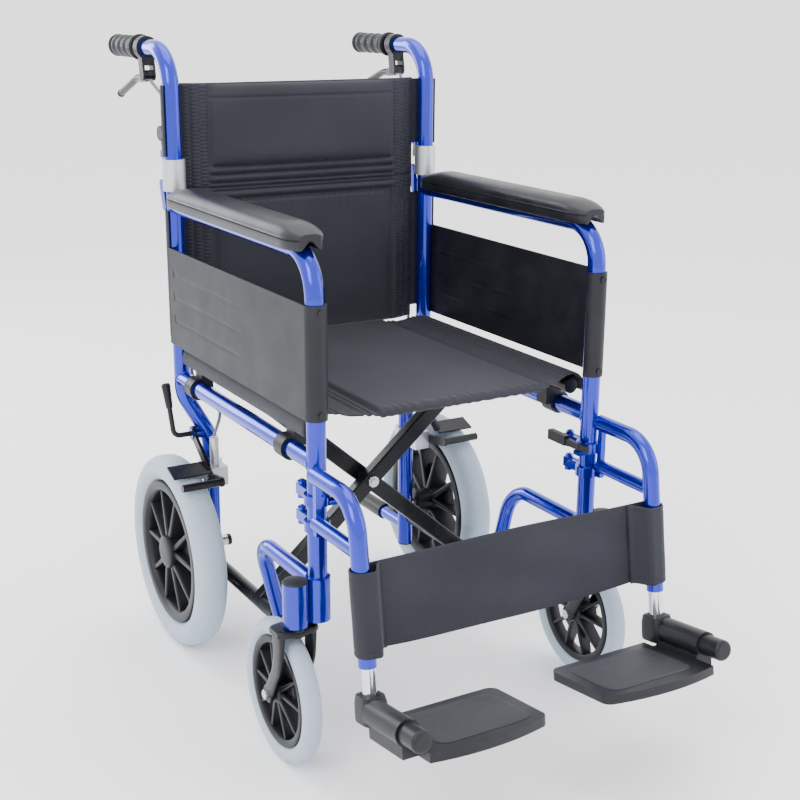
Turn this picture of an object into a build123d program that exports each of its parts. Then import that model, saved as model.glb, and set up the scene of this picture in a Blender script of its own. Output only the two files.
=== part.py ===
"""Attendant-propelled transit wheelchair: folding tubular frame, four wheels,
fold-down push posts, swing-away leg rests and a sling seat.

Millimetres, +Z up, the chair faces -Y. The origin is on the floor, under the
middle of the chair. Names ending in _r are the sitter's right (-X), _l the left.
"""
from build123d import *
import os
from math import atan2, cos, degrees, hypot, radians, sin, tan

os.makedirs("parts", exist_ok=True)

# ---------------------------------------------------------------- driving dimensions
half_track = 217.0       # centre plane to the axis of the front and rear posts
post_spacing = 458.0     # front post axis to rear post axis
post_d = 25.4            # main frame tube
post_wall = 1.6
slim_d = 22.0            # lower loop, tipping lever and seat rails
slim_wall = 1.6

arm_z = 698.0            # axis of the armrest tube
arm_bend = 55.0
side_rail_z = 430.0      # axis of the side rail
lower_rail_z = 262.0     # axis of the lower loop
lower_rail_reach = 183.0  # front post to the loop's down leg
loop_bend = 42.0
front_post_foot_z = 216.0
rear_post_foot_z = 82.0
post_split_z = 719.0     # where the push post meets the frame
jog_top_z = 405.0        # the rear post steps inboard between these heights
jog_low_z = 335.0
jog_in = 38.0
jog_forward = 9.0
jog_bend = 60.0

pivot_z = 130.0          # folding pivots of the cross bars
pivot_half = 185.0
bar_angle = 41.0         # cross bars above the horizontal, chair open
bar_w = 25.0             # cross bar section, tall and deep
bar_depth = 20.0
bar_gap = 5.0            # between the two bars
bar_a_reach = 255.0      # front post to the front bar's middle
rail_half = 203.0        # centre plane to the seat rail's axis
rail_start = 27.0        # seat rail ends, measured from the front post
rail_end = 432.0
bolt_d = 10.0

rear_wheel_r = 153.0
rear_wheel_x = 238.5
rear_tyre_w = 50.0
rear_rim_r = 111.0
axle_d = 12.0
hub_d = 53.0

caster_r = 100.0
caster_x = 250.0
caster_trail = 43.0
caster_tyre_w = 27.0
caster_rim_r = 75.0
stem_d = 16.0
housing_d = 34.0
housing_low_z = 214.0
housing_high_z = 274.0
fork_gap = 34.0
fork_wall = 7.0
caster_bolt_d = 8.0

handle_z = 922.0         # axis of the push handles
handle_reach = 225.0     # rear post axis to the end of the grip
handle_bend = 58.0
grip_d = 34.0
grip_length = 108.0
sleeve_d = 34.0
sleeve_height = 47.0
hinge_back = 26.0        # back-fold pin behind the post axis
hinge_up = 8.0           # and above the split

hanger_d = 23.0
hanger_z = 420.0
hanger_corner = 120.0    # front post to the corner of the hanger
hanger_foot = 150.0      # front post to its lower end
hanger_foot_z = 216.0
hanger_bend = 50.0
leg_d = 19.0
leg_inside = 90.0        # leg tube held inside the hanger
collar_d = 34.0
collar_h = 14.0
upper_collar_z = 383.0
lower_collar_z = 347.0

plate_width = 172.0      # footplate, across the chair
plate_depth = 136.0
plate_thick = 12.0
plate_drop = 72.0        # plate top below the hanger's end, along the leg
hinge_rise = 19.0        # footplate hinge axis above the plate top
hinge_out = 3.0          # and outboard of the leg tube
barrel_d = 34.0
knob_d = 28.0

seat_thick = 12.0
seat_front = -8.0        # from the front post axis, negative is forward
seat_rear = 441.0
seat_middle_width = 54.0  # strip of cloth that bends up as the chair folds
seat_joint_gap = 1.0
back_top_z = 876.0
back_low_z = 480.0
back_thick = 22.0
skirt_low_z = 488.0
skirt_height = 148.0
skirt_thick = 2.5
pad_width = 56.0
pad_height = 30.0
pad_front = 8.0
pad_rear = 437.0
strap_low_z = 233.0
strap_high_z = 335.0
cable_d = 5.0

# fits
run = 0.05               # radial clearance of anything that turns or slides
apart = 0.4              # between soft or curved faces that only pass each other
skin = 0.3               # between a moulded cover and the tube it sits on

# ---------------------------------------------------------------- worked-out places
rear_reach = post_spacing + handle_reach
lean = (hanger_foot - hanger_corner) / (hanger_z - hanger_foot_z)
leg_lean = radians(8.37)
plate_front_reach = hanger_foot + plate_drop * sin(leg_lean) + 130.0 * cos(leg_lean)
front_y = (plate_front_reach - rear_reach) / 2
rear_y = front_y + post_spacing
low_y = rear_y - jog_forward
low_x = half_track - jog_in
bar_a_y = front_y + bar_a_reach
bar_b_y = bar_a_y + bar_depth + bar_gap
slope = tan(radians(bar_angle))
rail_z = pivot_z + slope * (rail_half + pivot_half)
cross_z = pivot_z + slope * pivot_half
loop_y = front_y + lower_rail_reach
tube_front = loop_y + slim_d / 2 + 4.0
tube_rear = low_y - post_d / 2 - 4.0
hinge_y = rear_y + hinge_back
hinge_z = post_split_z + hinge_up
sides = {"r": -1, "l": 1}


def rod(points, diameter, bends=0.0, mode=Mode.ADD):
    """A round bar swept along straight runs joined by tangent arcs."""
    with BuildLine(mode=Mode.PRIVATE) as route:
        if len(points) > 2:
            FilletPolyline(*points, radius=bends)
        else:
            Line(*points)
    with BuildSketch(Plane(route.line @ 0, z_dir=route.line % 0), mode=Mode.PRIVATE) as section:
        Circle(diameter / 2)
    sweep(section.sketch, path=route.line, mode=mode)


def disc_x(x0, x1, y, z, diameter, mode=Mode.ADD):
    """A round bar along X."""
    rod([(x0, y, z), (x1, y, z)], diameter, mode=mode)


def block(x, y, z, mode=Mode.ADD):
    """A box given by its X, Y and Z limits."""
    with Locations(((x[0] + x[1]) / 2, (y[0] + y[1]) / 2, (z[0] + z[1]) / 2)):
        Box(abs(x[1] - x[0]), abs(y[1] - y[0]), abs(z[1] - z[0]), mode=mode)


def save(part, name):
    part.label = name
    export_step(part, f"parts/{name}.step")


def slot_yz(start, end, width, x0, x1, mode=Mode.ADD):
    """A flat link with round ends, in the YZ plane, between two X."""
    low, high = sorted((x0, x1))
    run_y, run_z = end[0] - start[0], end[1] - start[1]
    middle = (start[0] + run_y / 2, start[1] + run_z / 2)
    turn = degrees(atan2(run_z, run_y))
    with BuildSketch(Plane.YZ.offset(low), mode=Mode.PRIVATE) as outline:
        with Locations(Location((*middle, 0), (0, 0, turn))):
            SlotCenterToCenter(hypot(run_y, run_z), width)
    extrude(outline.sketch, amount=high - low, mode=mode)


def ring_z(x, y, z0, z1, outer_d, inner_d):
    """A collar round a vertical tube."""
    rod([(x, y, z0), (x, y, z1)], outer_d)
    rod([(x, y, z0), (x, y, z1)], inner_d, mode=Mode.SUBTRACT)


def ring_x(x0, x1, y, z, outer_d, inner_d):
    """A knuckle round a pin that lies along X."""
    disc_x(x0, x1, y, z, outer_d)
    disc_x(x0, x1, y, z, inner_d, mode=Mode.SUBTRACT)


# ---------------------------------------------------------------- side frames
stud_d = 10.0            # folding pivots welded to the frame
stud_grip = 22.0
boss_d = 18.0            # carries the parking lever's shaft
boss_z = 342.0
boss_end = 210.5
lever_rod_d = 8.0
tip_lever_z = 114.0
tip_lever_length = 145.0
ear_offset = 6.3         # hinge ears, from the post's middle to their inner face
ear_wall = 5.0
ear_d = 14.0
hinge_pin_d = 6.0
foot_sleeve_d = 33.0
plug_flange = 2.0
rail_tube_d = 25.0       # a hair under the posts it is welded to
hair = 0.1


def side_frame(s):
    """One welded side: posts, armrest tube, side rail, lower loop, housings, pins."""
    x = s * half_track
    low = s * low_x
    inner = post_d - 2 * post_wall
    slim_inner = slim_d - 2 * slim_wall
    arm = [(x, front_y, front_post_foot_z), (x, front_y, arm_z), (x, rear_y, arm_z)]
    post = [(x, rear_y, post_split_z), (x, rear_y, jog_top_z), (low, low_y, jog_low_z),
            (low, low_y, rear_post_foot_z)]
    rail = [(x, front_y, side_rail_z), (x, rear_y, side_rail_z)]
    loop = [(x, front_y, lower_rail_z), (x, loop_y, lower_rail_z), (s * pivot_half, loop_y, pivot_z)]
    tip = [(low, low_y, tip_lever_z), (low, low_y + tip_lever_length, tip_lever_z)]
    with BuildPart() as frame:
        rod(arm, post_d - hair, arm_bend)
        rod(post, post_d, jog_bend)
        rod(rail, rail_tube_d)
        rod(loop, slim_d, loop_bend)
        rod(tip, slim_d)
        rod([(x, front_y, front_post_foot_z), (x, front_y, housing_high_z + plug_flange)], foot_sleeve_d)
        rod([(s * caster_x, front_y, housing_low_z), (s * caster_x, front_y, housing_high_z)], housing_d)
        rod(arm, inner - hair, arm_bend, mode=Mode.SUBTRACT)
        rod(post, inner, jog_bend, mode=Mode.SUBTRACT)
        rod(rail, rail_tube_d - 2 * post_wall, mode=Mode.SUBTRACT)
        rod(loop, slim_inner, loop_bend, mode=Mode.SUBTRACT)
        rod(tip, slim_inner, mode=Mode.SUBTRACT)
        # the loop's closed end and the two folding studs
        rod([(s * pivot_half, loop_y, pivot_z - 12), (s * pivot_half, loop_y, pivot_z + 12)], slim_d + 3)
        rod([(s * pivot_half, loop_y, pivot_z), (s * pivot_half, tube_front + stud_grip, pivot_z)], stud_d)
        rod([(s * pivot_half, low_y, pivot_z), (s * pivot_half, tube_rear - stud_grip, pivot_z)], stud_d)
        # caster stem bore, axle bore
        rod([(s * caster_x, front_y, housing_low_z), (s * caster_x, front_y, housing_high_z - 8)],
            stem_d + 2 * run, mode=Mode.SUBTRACT)
        disc_x(s * (low_x - post_d), s * (low_x + post_d), low_y, rear_wheel_r, axle_d + 2 * run,
               mode=Mode.SUBTRACT)
        # parking lever boss
        disc_x(s * (low_x + 8), s * boss_end, low_y, boss_z, boss_d)
        disc_x(s * (low_x + 14), s * boss_end, low_y, boss_z, lever_rod_d + 2 * run, mode=Mode.SUBTRACT)
        # back-fold clevis and its pin
        for side in (-1, 1):
            face = x + side * ear_offset
            slot_yz((hinge_y, hinge_z), (rear_y + 17, post_split_z - 24), ear_d, face, face + side * ear_wall)
        disc_x(x - ear_offset - ear_wall / 2, x + ear_offset + ear_wall / 2, hinge_y, hinge_z, hinge_pin_d)
    return frame.part


def arm_pad(s):
    """Moulded armrest, grooved underneath for the tube."""
    x = s * half_track
    top = arm_z + post_d / 2 + 20
    with BuildPart() as pad:
        block((x - pad_width / 2, x + pad_width / 2), (front_y + pad_front, front_y + pad_rear),
              (top - pad_height, top))
        fillet(pad.edges().filter_by(Axis.Z), radius=14)
        fillet(pad.faces().sort_by(Axis.Z)[-1].edges(), radius=8)
        rod([(x, front_y, front_post_foot_z), (x, front_y, arm_z), (x, rear_y, arm_z)],
            post_d + 2 * skin, arm_bend, mode=Mode.SUBTRACT)
    return pad.part


screw_d = 4.0
screw_head_d = 8.5
screw_inset = 9.0        # from the panel's top and bottom edges


def skirt_panel(s):
    """Plastic side guard outboard of the posts, wrapped round them at both ends."""
    x = s * half_track
    inner_r = post_d / 2 + skin
    outer_r = inner_r + skirt_thick
    with BuildPart() as panel:
        with BuildSketch(Plane.XY.offset(skirt_low_z)):
            with Locations((x, front_y), (x, rear_y)):
                Circle(outer_r)
            with Locations((x, (front_y + rear_y) / 2)):
                Rectangle(2 * outer_r, post_spacing)
            with Locations((x, front_y), (x, rear_y)):
                Circle(inner_r, mode=Mode.SUBTRACT)
            with Locations((x, (front_y + rear_y) / 2)):
                Rectangle(2 * inner_r, post_spacing, mode=Mode.SUBTRACT)
            with Locations((x - s * outer_r, (front_y + rear_y) / 2 + outer_r)):
                Rectangle(2 * outer_r, post_spacing + 2 * outer_r, mode=Mode.SUBTRACT)
        extrude(amount=skirt_height)
        for z in (skirt_low_z + screw_inset, skirt_low_z + skirt_height - screw_inset):
            rod([(x, front_y - outer_r - 1, z), (x, front_y - inner_r + 1, z)], screw_d + 0.4,
                mode=Mode.SUBTRACT)
    return panel.part


saddle_length = 24.0
saddle_half = 11.0
saddle_places = (70.0, 385.0)
rubber_d = 28.0
rubber_length = 80.0


def frame_fittings(s):
    """Black plastic: seat rail saddles, tube plugs, tipping rubber, axle cap, screws."""
    x = s * half_track
    low = s * low_x
    plug_d = post_d - 2 * post_wall - 2 * run
    rail_x = s * rail_half
    with BuildPart() as fittings:
        for place in saddle_places:
            y0 = front_y + place
            y1 = y0 + saddle_length
            block((rail_x - saddle_half, rail_x + saddle_half + s * 4), (y0, y1),
                  (side_rail_z, rail_z - slim_d / 2 - apart))
            rod([(x, y0, side_rail_z), (x, y1, side_rail_z)], post_d + 8)
            rod([(x, y0, side_rail_z), (x, y1, side_rail_z)], post_d + 2 * run, mode=Mode.SUBTRACT)
        for px, py, foot in ((x, front_y, front_post_foot_z), (low, low_y, rear_post_foot_z)):
            rod([(px, py, foot - plug_flange), (px, py, foot)], post_d)
            rod([(px, py, foot), (px, py, foot + 12)], plug_d)
        end_y = low_y + tip_lever_length
        rod([(low, end_y - rubber_length + 6, tip_lever_z), (low, end_y + 6, tip_lever_z)], rubber_d)
        rod([(low, end_y - rubber_length, tip_lever_z), (low, end_y, tip_lever_z)], slim_d + 2 * run,
            mode=Mode.SUBTRACT)
        cap_x = low_x - post_d / 2 - 10
        disc_x(s * cap_x, s * (cap_x - 6), low_y, rear_wheel_r, 18)
        head_y = front_y - post_d / 2 - skin - skirt_thick
        for z in (skirt_low_z + screw_inset, skirt_low_z + skirt_height - screw_inset):
            rod([(x, head_y - 2.2, z), (x, head_y, z)], screw_head_d)
            rod([(x, head_y, z), (x, head_y + skirt_thick + skin - run, z)], screw_d)
    return fittings.part


# ---------------------------------------------------------------- rear wheels and brakes
def wheel_profile(x, y, z, outer_r, inner_r, width, round_r):
    """A rounded ring section turned round an axle along X."""
    with BuildSketch(Plane((x, y, z), x_dir=(1, 0, 0), z_dir=(0, -1, 0)), mode=Mode.PRIVATE) as section:
        with Locations((0, (outer_r + inner_r) / 2)):
            Rectangle(width, outer_r - inner_r)
        fillet(section.vertices().group_by(Axis.Y)[-1], radius=round_r)
        fillet(section.vertices().group_by(Axis.Y)[0], radius=2)
    revolve(section.sketch, axis=Axis((x, y, z), (1, 0, 0)))


def spokes(x, y, z, count, hub_r, rim_r, width, depth, splay):
    """Pairs of flat spokes in a V, moulded with the hub and the rim."""
    middle = (hub_r + rim_r) / 2
    length = rim_r - hub_r + 6
    plane = Plane((x - depth / 2, y, z), x_dir=(0, 1, 0), z_dir=(1, 0, 0))
    for turn in (-splay, splay):
        with BuildSketch(plane, mode=Mode.PRIVATE) as outline:
            with PolarLocations(middle, count, start_angle=90 + turn * 0.9):
                Rectangle(length, width, rotation=-turn)
        extrude(outline.sketch, amount=depth)


def rear_axle(s):
    """Steel axle through the rear post, with a nut on its inner end."""
    inner = low_x - post_d / 2
    with BuildPart() as axle:
        disc_x(s * (inner - 10), s * (rear_wheel_x + rear_tyre_w / 2 - 12), low_y, rear_wheel_r, axle_d)
        disc_x(s * (inner - 10), s * (inner - 1), low_y, rear_wheel_r, 17)
        disc_x(s * (low_x + post_d / 2 + 0.5), s * (low_x + post_d / 2 + 4), low_y, rear_wheel_r, 18)
    return axle.part


def rear_tyre(s):
    """Solid grey tyre."""
    with BuildPart() as tyre:
        wheel_profile(s * rear_wheel_x, low_y, rear_wheel_r, rear_wheel_r, rear_rim_r, rear_tyre_w, 19)
    return tyre.part


rear_rim_w = 36.0
rim_wall = 11.0
rear_hub_inner = 8.0     # hub face beyond the post


def rear_rim(s):
    """Moulded wheel: hub, five double spokes and rim."""
    x = s * rear_wheel_x
    hub_in = s * (low_x + post_d / 2 + rear_hub_inner - 3)
    cap_face = s * (rear_wheel_x + rear_tyre_w / 2)
    with BuildPart() as rim:
        ring_x(x - rear_rim_w / 2, x + rear_rim_w / 2, low_y, rear_wheel_r, 2 * rear_rim_r,
               2 * (rear_rim_r - rim_wall))
        spokes(x, low_y, rear_wheel_r, 5, hub_d / 2 - 4, rear_rim_r - rim_wall, 11, 18, 10)
        disc_x(hub_in, cap_face, low_y, rear_wheel_r, hub_d)
        disc_x(hub_in, s * (rear_wheel_x + rear_tyre_w / 2 - 11), low_y, rear_wheel_r, axle_d + 2 * run,
               mode=Mode.SUBTRACT)
    return rim.part


shoe_pin = (low_y - 40, 281.0)
shoe_bar = (low_y - 91, 288.5)
shoe_inner = low_x + 17.5
shoe_outer = rear_wheel_x + 24
clamp_low_z = 266.0
clamp_high_z = 294.0


def brake_block(s):
    """Aluminium clamp on the rear post with the cable's spring housing."""
    low = s * low_x
    with BuildPart() as clamp:
        ring_z(low, low_y, clamp_low_z, clamp_high_z, post_d + 11, post_d + 2 * run)
        block((s * (low_x - 9), s * (low_x + 17)), (low_y - 48, low_y - 16), (clamp_low_z, clamp_high_z + 2))
        rod([(s * (low_x + 7), low_y - 34, clamp_high_z), (s * (low_x + 7), low_y - 34, 342)], 14)
        disc_x(s * (low_x + 16), s * (shoe_inner + 8), *shoe_pin, 8)
    return clamp.part


def brake_shoe(s):
    """Rocking arm with the round bar that presses on the tyre."""
    x0, x1 = s * shoe_inner, s * (shoe_inner + 5)
    with BuildPart() as shoe:
        slot_yz(shoe_pin, shoe_bar, 15, x0, x1)
        disc_x(x0, x1, *shoe_pin, 8 + 2 * run, mode=Mode.SUBTRACT)
        disc_x(x1, s * shoe_outer, *shoe_bar, 12)
    return shoe.part


park_ring_x = 204.0
park_gap = 5.0


def park_shoe(s):
    """Flat plate over the tyre, turned down by the parking lever."""
    away = Vector(0, -56, 150).normalized()
    centre = Vector(0, low_y, rear_wheel_r) + away * (rear_wheel_r + park_gap)
    x0, x1 = s * park_ring_x, s * (park_ring_x + 5)
    middle = (s * (park_ring_x + 5) + s * shoe_outer) / 2
    with BuildPart() as shoe:
        slot_yz((low_y, boss_z), (centre.Y, centre.Z + 2), 14, x0, x1)
        disc_x(x0, x1, low_y, boss_z, 23)
        disc_x(x0, x1, low_y, boss_z, boss_d + 2 * run, mode=Mode.SUBTRACT)
        face = Plane((middle, centre.Y, centre.Z), x_dir=(1, 0, 0), z_dir=away)
        with BuildSketch(face):
            Rectangle(abs(shoe_outer - park_ring_x) - 5 + 10, 30)
        extrude(amount=3)
    return shoe.part


lever_x = 238.0


def park_lever(s):
    """Bent rod with a tapered plastic grip; turning it lowers the plate."""
    lean_back = radians(20)
    foot = (s * lever_x, low_y, boss_z)
    top = (s * lever_x, low_y + 80 * sin(lean_back), boss_z + 80 * cos(lean_back))
    knee = (s * lever_x, low_y + 44 * sin(lean_back), boss_z + 44 * cos(lean_back))
    with BuildPart() as lever:
        rod([(s * (low_x + 16), low_y, boss_z), foot, top], lever_rod_d, 10)
        along = (0, sin(lean_back), cos(lean_back))
        with BuildSketch(Plane(knee, z_dir=along)):
            Circle(5.2)
        with BuildSketch(Plane(top, z_dir=along)):
            Circle(7.2)
        loft()
        with BuildSketch(Plane(top, z_dir=along)):
            Circle(7.2)
        extrude(amount=3, taper=30)
    return lever.part


# ---------------------------------------------------------------- casters
axle_y = front_y + caster_trail


def caster_fork(s):
    """Fork with its stem, and the wheel bolt through both arms."""
    x = s * caster_x
    arm_in = fork_gap / 2
    arm_out = arm_in + fork_wall
    crown_low = 2 * caster_r + 2.5
    crown_high = housing_low_z - 2.0
    with BuildPart() as fork:
        block((x - arm_out, x + arm_out), (front_y - 14, front_y + 20), (crown_low, crown_high))
        fillet(fork.edges().filter_by(Axis.Z), radius=6)
        rod([(x, front_y, crown_high), (x, front_y, housing_high_z - 10)], stem_d)
        rod([(x, front_y, crown_high), (x, front_y, housing_low_z - 0.5)], stem_d + 8)
        for side in (-1, 1):
            inner = x + side * arm_in
            outer = x + side * arm_out
            slot_yz((front_y + 6, crown_low - 2), (front_y + 8, 148), 24, inner, outer)
            slot_yz((front_y + 8, 148), (axle_y, caster_r), 20, inner, outer)
            block((inner, outer), (front_y - 6, front_y + 18), (crown_low - 6, crown_high - 4))
        disc_x(x - arm_out - 1, x + arm_out + 1, axle_y, caster_r, caster_bolt_d + 2 * run, mode=Mode.SUBTRACT)
        disc_x(x - arm_out - 4, x + arm_out + 4, axle_y, caster_r, caster_bolt_d)
        disc_x(x - arm_out - 5, x - arm_out, axle_y, caster_r, 13)
        disc_x(x + arm_out, x + arm_out + 5, axle_y, caster_r, 13)
    return fork.part


def caster_tyre(s):
    """Solid grey tyre of the small wheel."""
    with BuildPart() as tyre:
        wheel_profile(s * caster_x, axle_y, caster_r, caster_r, caster_rim_r, caster_tyre_w, 10)
    return tyre.part


def caster_rim(s):
    """Moulded wheel with five double spokes."""
    x = s * caster_x
    width = caster_tyre_w - 4
    hub_half = fork_gap / 2 - 1.0
    with BuildPart() as rim:
        ring_x(x - width / 2, x + width / 2, axle_y, caster_r, 2 * caster_rim_r, 2 * (caster_rim_r - 9))
        spokes(x, axle_y, caster_r, 5, 13, caster_rim_r - 9, 8, 13, 10)
        disc_x(x - hub_half, x + hub_half, axle_y, caster_r, 32)
        disc_x(x - hub_half, x + hub_half, axle_y, caster_r, caster_bolt_d + 2 * run, mode=Mode.SUBTRACT)
    return rim.part


# ---------------------------------------------------------------- push posts
ear_gap = 0.3
lock_y = rear_y + 22
lock_z = 772.0
lock_pin_d = 4.0


def push_post(s):
    """Upper post bent back into the handle, with ears for the lock lever."""
    x = s * half_track
    end = rear_y + handle_reach - 4
    path = [(x, rear_y, post_split_z + 1), (x, rear_y, handle_z), (x, end, handle_z)]
    with BuildPart() as post:
        rod(path, post_d, handle_bend)
        for side in (-1, 1):
            slot_yz((rear_y, lock_z), (lock_y, lock_z), 12, x + side * 7, x + side * 10)
        rod(path, post_d - 2 * post_wall, handle_bend, mode=Mode.SUBTRACT)
        disc_x(x - 8, x + 8, lock_y, lock_z, lock_pin_d)
    return post.part


def grip(s):
    """Moulded rubber handgrip with a closed, rounded end."""
    x = s * half_track
    end = rear_y + handle_reach
    with BuildPart() as handle:
        rod([(x, end - grip_length, handle_z), (x, end, handle_z)], grip_d)
        fillet(handle.edges().group_by(Axis.Y)[-1], radius=10)
        rod([(x, end - grip_length + 7, handle_z), (x, end - grip_length, handle_z)], grip_d + 5)
        rod([(x, end - grip_length - 1, handle_z), (x, end - 4 + run, handle_z)], post_d + 2 * run,
            mode=Mode.SUBTRACT)
    return handle.part


def hinge_sleeve(s):
    """Aluminium sleeve round the foot of the push post, with the hinge knuckle."""
    x = s * half_track
    knuckle = ear_offset - ear_gap
    with BuildPart() as sleeve:
        rod([(x, rear_y, post_split_z + 0.5), (x, rear_y, post_split_z + sleeve_height)], sleeve_d)
        slot_yz((rear_y + 8, hinge_z + 1), (hinge_y, hinge_z), ear_d - 1, x - knuckle, x + knuckle)
        rod([(x, rear_y, post_split_z + 0.4), (x, rear_y, post_split_z + sleeve_height + 1)],
            post_d + 2 * run, mode=Mode.SUBTRACT)
        disc_x(x - knuckle, x + knuckle, hinge_y, hinge_z, hinge_pin_d + 2 * run, mode=Mode.SUBTRACT)
    return sleeve.part


def back_lock_lever(s):
    """Plastic paddle behind the post that frees the back to fold."""
    x = s * half_track
    with BuildPart() as lever:
        slot_yz((lock_y + 4, lock_z - 22), (lock_y + 1, lock_z), 8, x - 6, x + 6)
        slot_yz((lock_y + 1, lock_z), (lock_y + 9, lock_z + 32), 13, x - 6, x + 6)
        disc_x(x - 9, x + 9, lock_y + 9, lock_z + 29, 22)
        disc_x(x - 7, x + 7, lock_y, lock_z, lock_pin_d + 2 * run, mode=Mode.SUBTRACT)
    return lever.part


mount_y = rear_y + 98
brake_pivot = (rear_y + 93, 882.0)
brake_pin_d = 5.0


def lever_mount(s):
    """Plastic bracket clamped round the handle, with the brake lever's pin."""
    x = s * half_track
    with BuildPart() as mount:
        rod([(x, mount_y - 8, handle_z), (x, mount_y + 8, handle_z)], post_d + 9)
        for side in (-1, 1):
            slot_yz((mount_y, handle_z - 12), brake_pivot, 17, x + side * 6.5, x + side * 10)
        block((x - 9, x + 9), (mount_y - 9, mount_y + 8), (handle_z - 26, handle_z - 10))
        rod([(x, mount_y - 9, handle_z), (x, mount_y + 9, handle_z)], post_d + 2 * run, mode=Mode.SUBTRACT)
        disc_x(x - 8, x + 8, *brake_pivot, brake_pin_d)
    return mount.part


def brake_lever(s):
    """Curved hand lever; its tip rises towards the grip when squeezed."""
    x = s * half_track
    y, z = brake_pivot
    end = rear_y + handle_reach
    path = [(x, y + 5, z - 4), (x, y + 45, z - 6), (x, end - 7, z - 34)]
    with BuildPart() as lever:
        rod(path, 11, 60)
        disc_x(x - 6, x + 6, y, z, 15)
        slot_yz((y, z), (y + 20, z - 5), 13, x - 6, x + 6)
        with Locations(path[-1]):
            Sphere(6.5)
        disc_x(x - 7, x + 7, y, z, brake_pin_d + 2 * run, mode=Mode.SUBTRACT)
    return lever.part


# the cable's corners: inboard of the post line, behind the rear post, height
cable_points = ((0, 82, 874), (9, 50, 850), (17, 22, 800), (17, 20, 480), (27, 16, 400), (55, -4, 385),
                (47, -34, 372), (31, -43, 344))
cable_bends = (60, 80, 200, 25, 25, 28)


def brake_cable(s):
    """Sheathed cable from the hand lever down to the brake."""
    route = [(s * (half_track - inward), rear_y + back, z) for inward, back, z in cable_points]
    with BuildPart() as cable:
        rod(route, cable_d, cable_bends)
    return cable.part


# ---------------------------------------------------------------- leg rests
hanger_x = half_track + 9
bolt_tail = 43.0
clamp_bolt_d = 6.0
strut_d = 19.0
strut_z = 356.0
latch_x = half_track - 22
latch_y = front_y - 8
latch_pin_d = 5.0


def hanger(s):
    """Swing-away hanger: bent tube, strut, two collars round the front post."""
    x, px = s * hanger_x, s * half_track
    tube = [(x, front_y - post_d / 2 - 0.5, hanger_z), (x, front_y - hanger_corner, hanger_z),
            (x, front_y - hanger_foot, hanger_foot_z)]
    strut_y = front_y - hanger_corner - lean * (hanger_z - strut_z)
    with BuildPart() as part:
        rod(tube, hanger_d, hanger_bend)
        rod([(x, front_y - 16, strut_z), (x, strut_y, strut_z)], strut_d)
        block((x - 4, x + 4), (front_y - 23, front_y - 14.5), (lower_collar_z - collar_h / 2, hanger_z))
        for z in (lower_collar_z, upper_collar_z):
            low, high = z - collar_h / 2, z + collar_h / 2
            rod([(px, front_y, low), (px, front_y, high)], collar_d)
            for side in (-1, 1):
                block((px + side * 1.2, px + side * 6), (front_y + 14, front_y + bolt_tail + 6), (low, high))
            rod([(px, front_y + bolt_tail, low - 6), (px, front_y + bolt_tail, high + 6)], clamp_bolt_d)
            rod([(px, front_y + bolt_tail, low - 5), (px, front_y + bolt_tail, low)], clamp_bolt_d + 6)
            rod([(px, front_y + bolt_tail, high), (px, front_y + bolt_tail, high + 4)], clamp_bolt_d + 6)
        block((s * (latch_x - 6), s * (latch_x + 12)), (latch_y - 7, latch_y + 6),
              (upper_collar_z - collar_h / 2, upper_collar_z - 1))
        rod([(s * latch_x, latch_y, upper_collar_z - 2), (s * latch_x, latch_y, upper_collar_z + 14)], latch_pin_d)
        rod([(px, front_y, lower_collar_z - collar_h), (px, front_y, upper_collar_z + collar_h)],
            post_d + 2 * run, mode=Mode.SUBTRACT)
        rod(tube, leg_d + 2 * run, hanger_bend, mode=Mode.SUBTRACT)
    return part.part


def hanger_latch(s):
    """Release lever lying along the inboard face of the post."""
    x = s * latch_x
    low, high = upper_collar_z - 0.6, upper_collar_z + 9
    with BuildPart() as latch:
        block((x - 3, x + 3), (latch_y - 18, latch_y + 40), (low, high))
        block((x - 5 + s * 1, x + 4 + s * 1), (latch_y + 30, latch_y + 70), (low - 2, high + 3))
        rod([(x, latch_y, low), (x, latch_y, high)], 7.6)
        rod([(x, latch_y, low - 1), (x, latch_y, high + 1)], latch_pin_d + 2 * run, mode=Mode.SUBTRACT)
    return latch.part


def leg_frame(s):
    """Local frame at the hanger's foot: X across, Y rearward, Z up along the leg."""
    return Plane((s * hanger_x, front_y - hanger_foot, hanger_foot_z), x_dir=(1, 0, 0),
                 z_dir=(0, sin(leg_lean), cos(leg_lean)))


leg_end = 66.0           # leg tube's lower end below the hanger's
bracket_end = 70.0
bracket_d = 24.0
hinge_pin_low = 14.0
barrel_start = 14.0
barrel_end = 95.0
knob_end = 130.0


def leg_tube(s):
    """Steel tube that slides in the hanger."""
    with BuildPart(leg_frame(s)) as leg:
        with Locations((0, 0, (leg_inside - leg_end) / 2)):
            Cylinder(leg_d / 2, leg_inside + leg_end)
            Cylinder(leg_d / 2 - slim_wall, leg_inside + leg_end, mode=Mode.SUBTRACT)
    return leg.part


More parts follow.
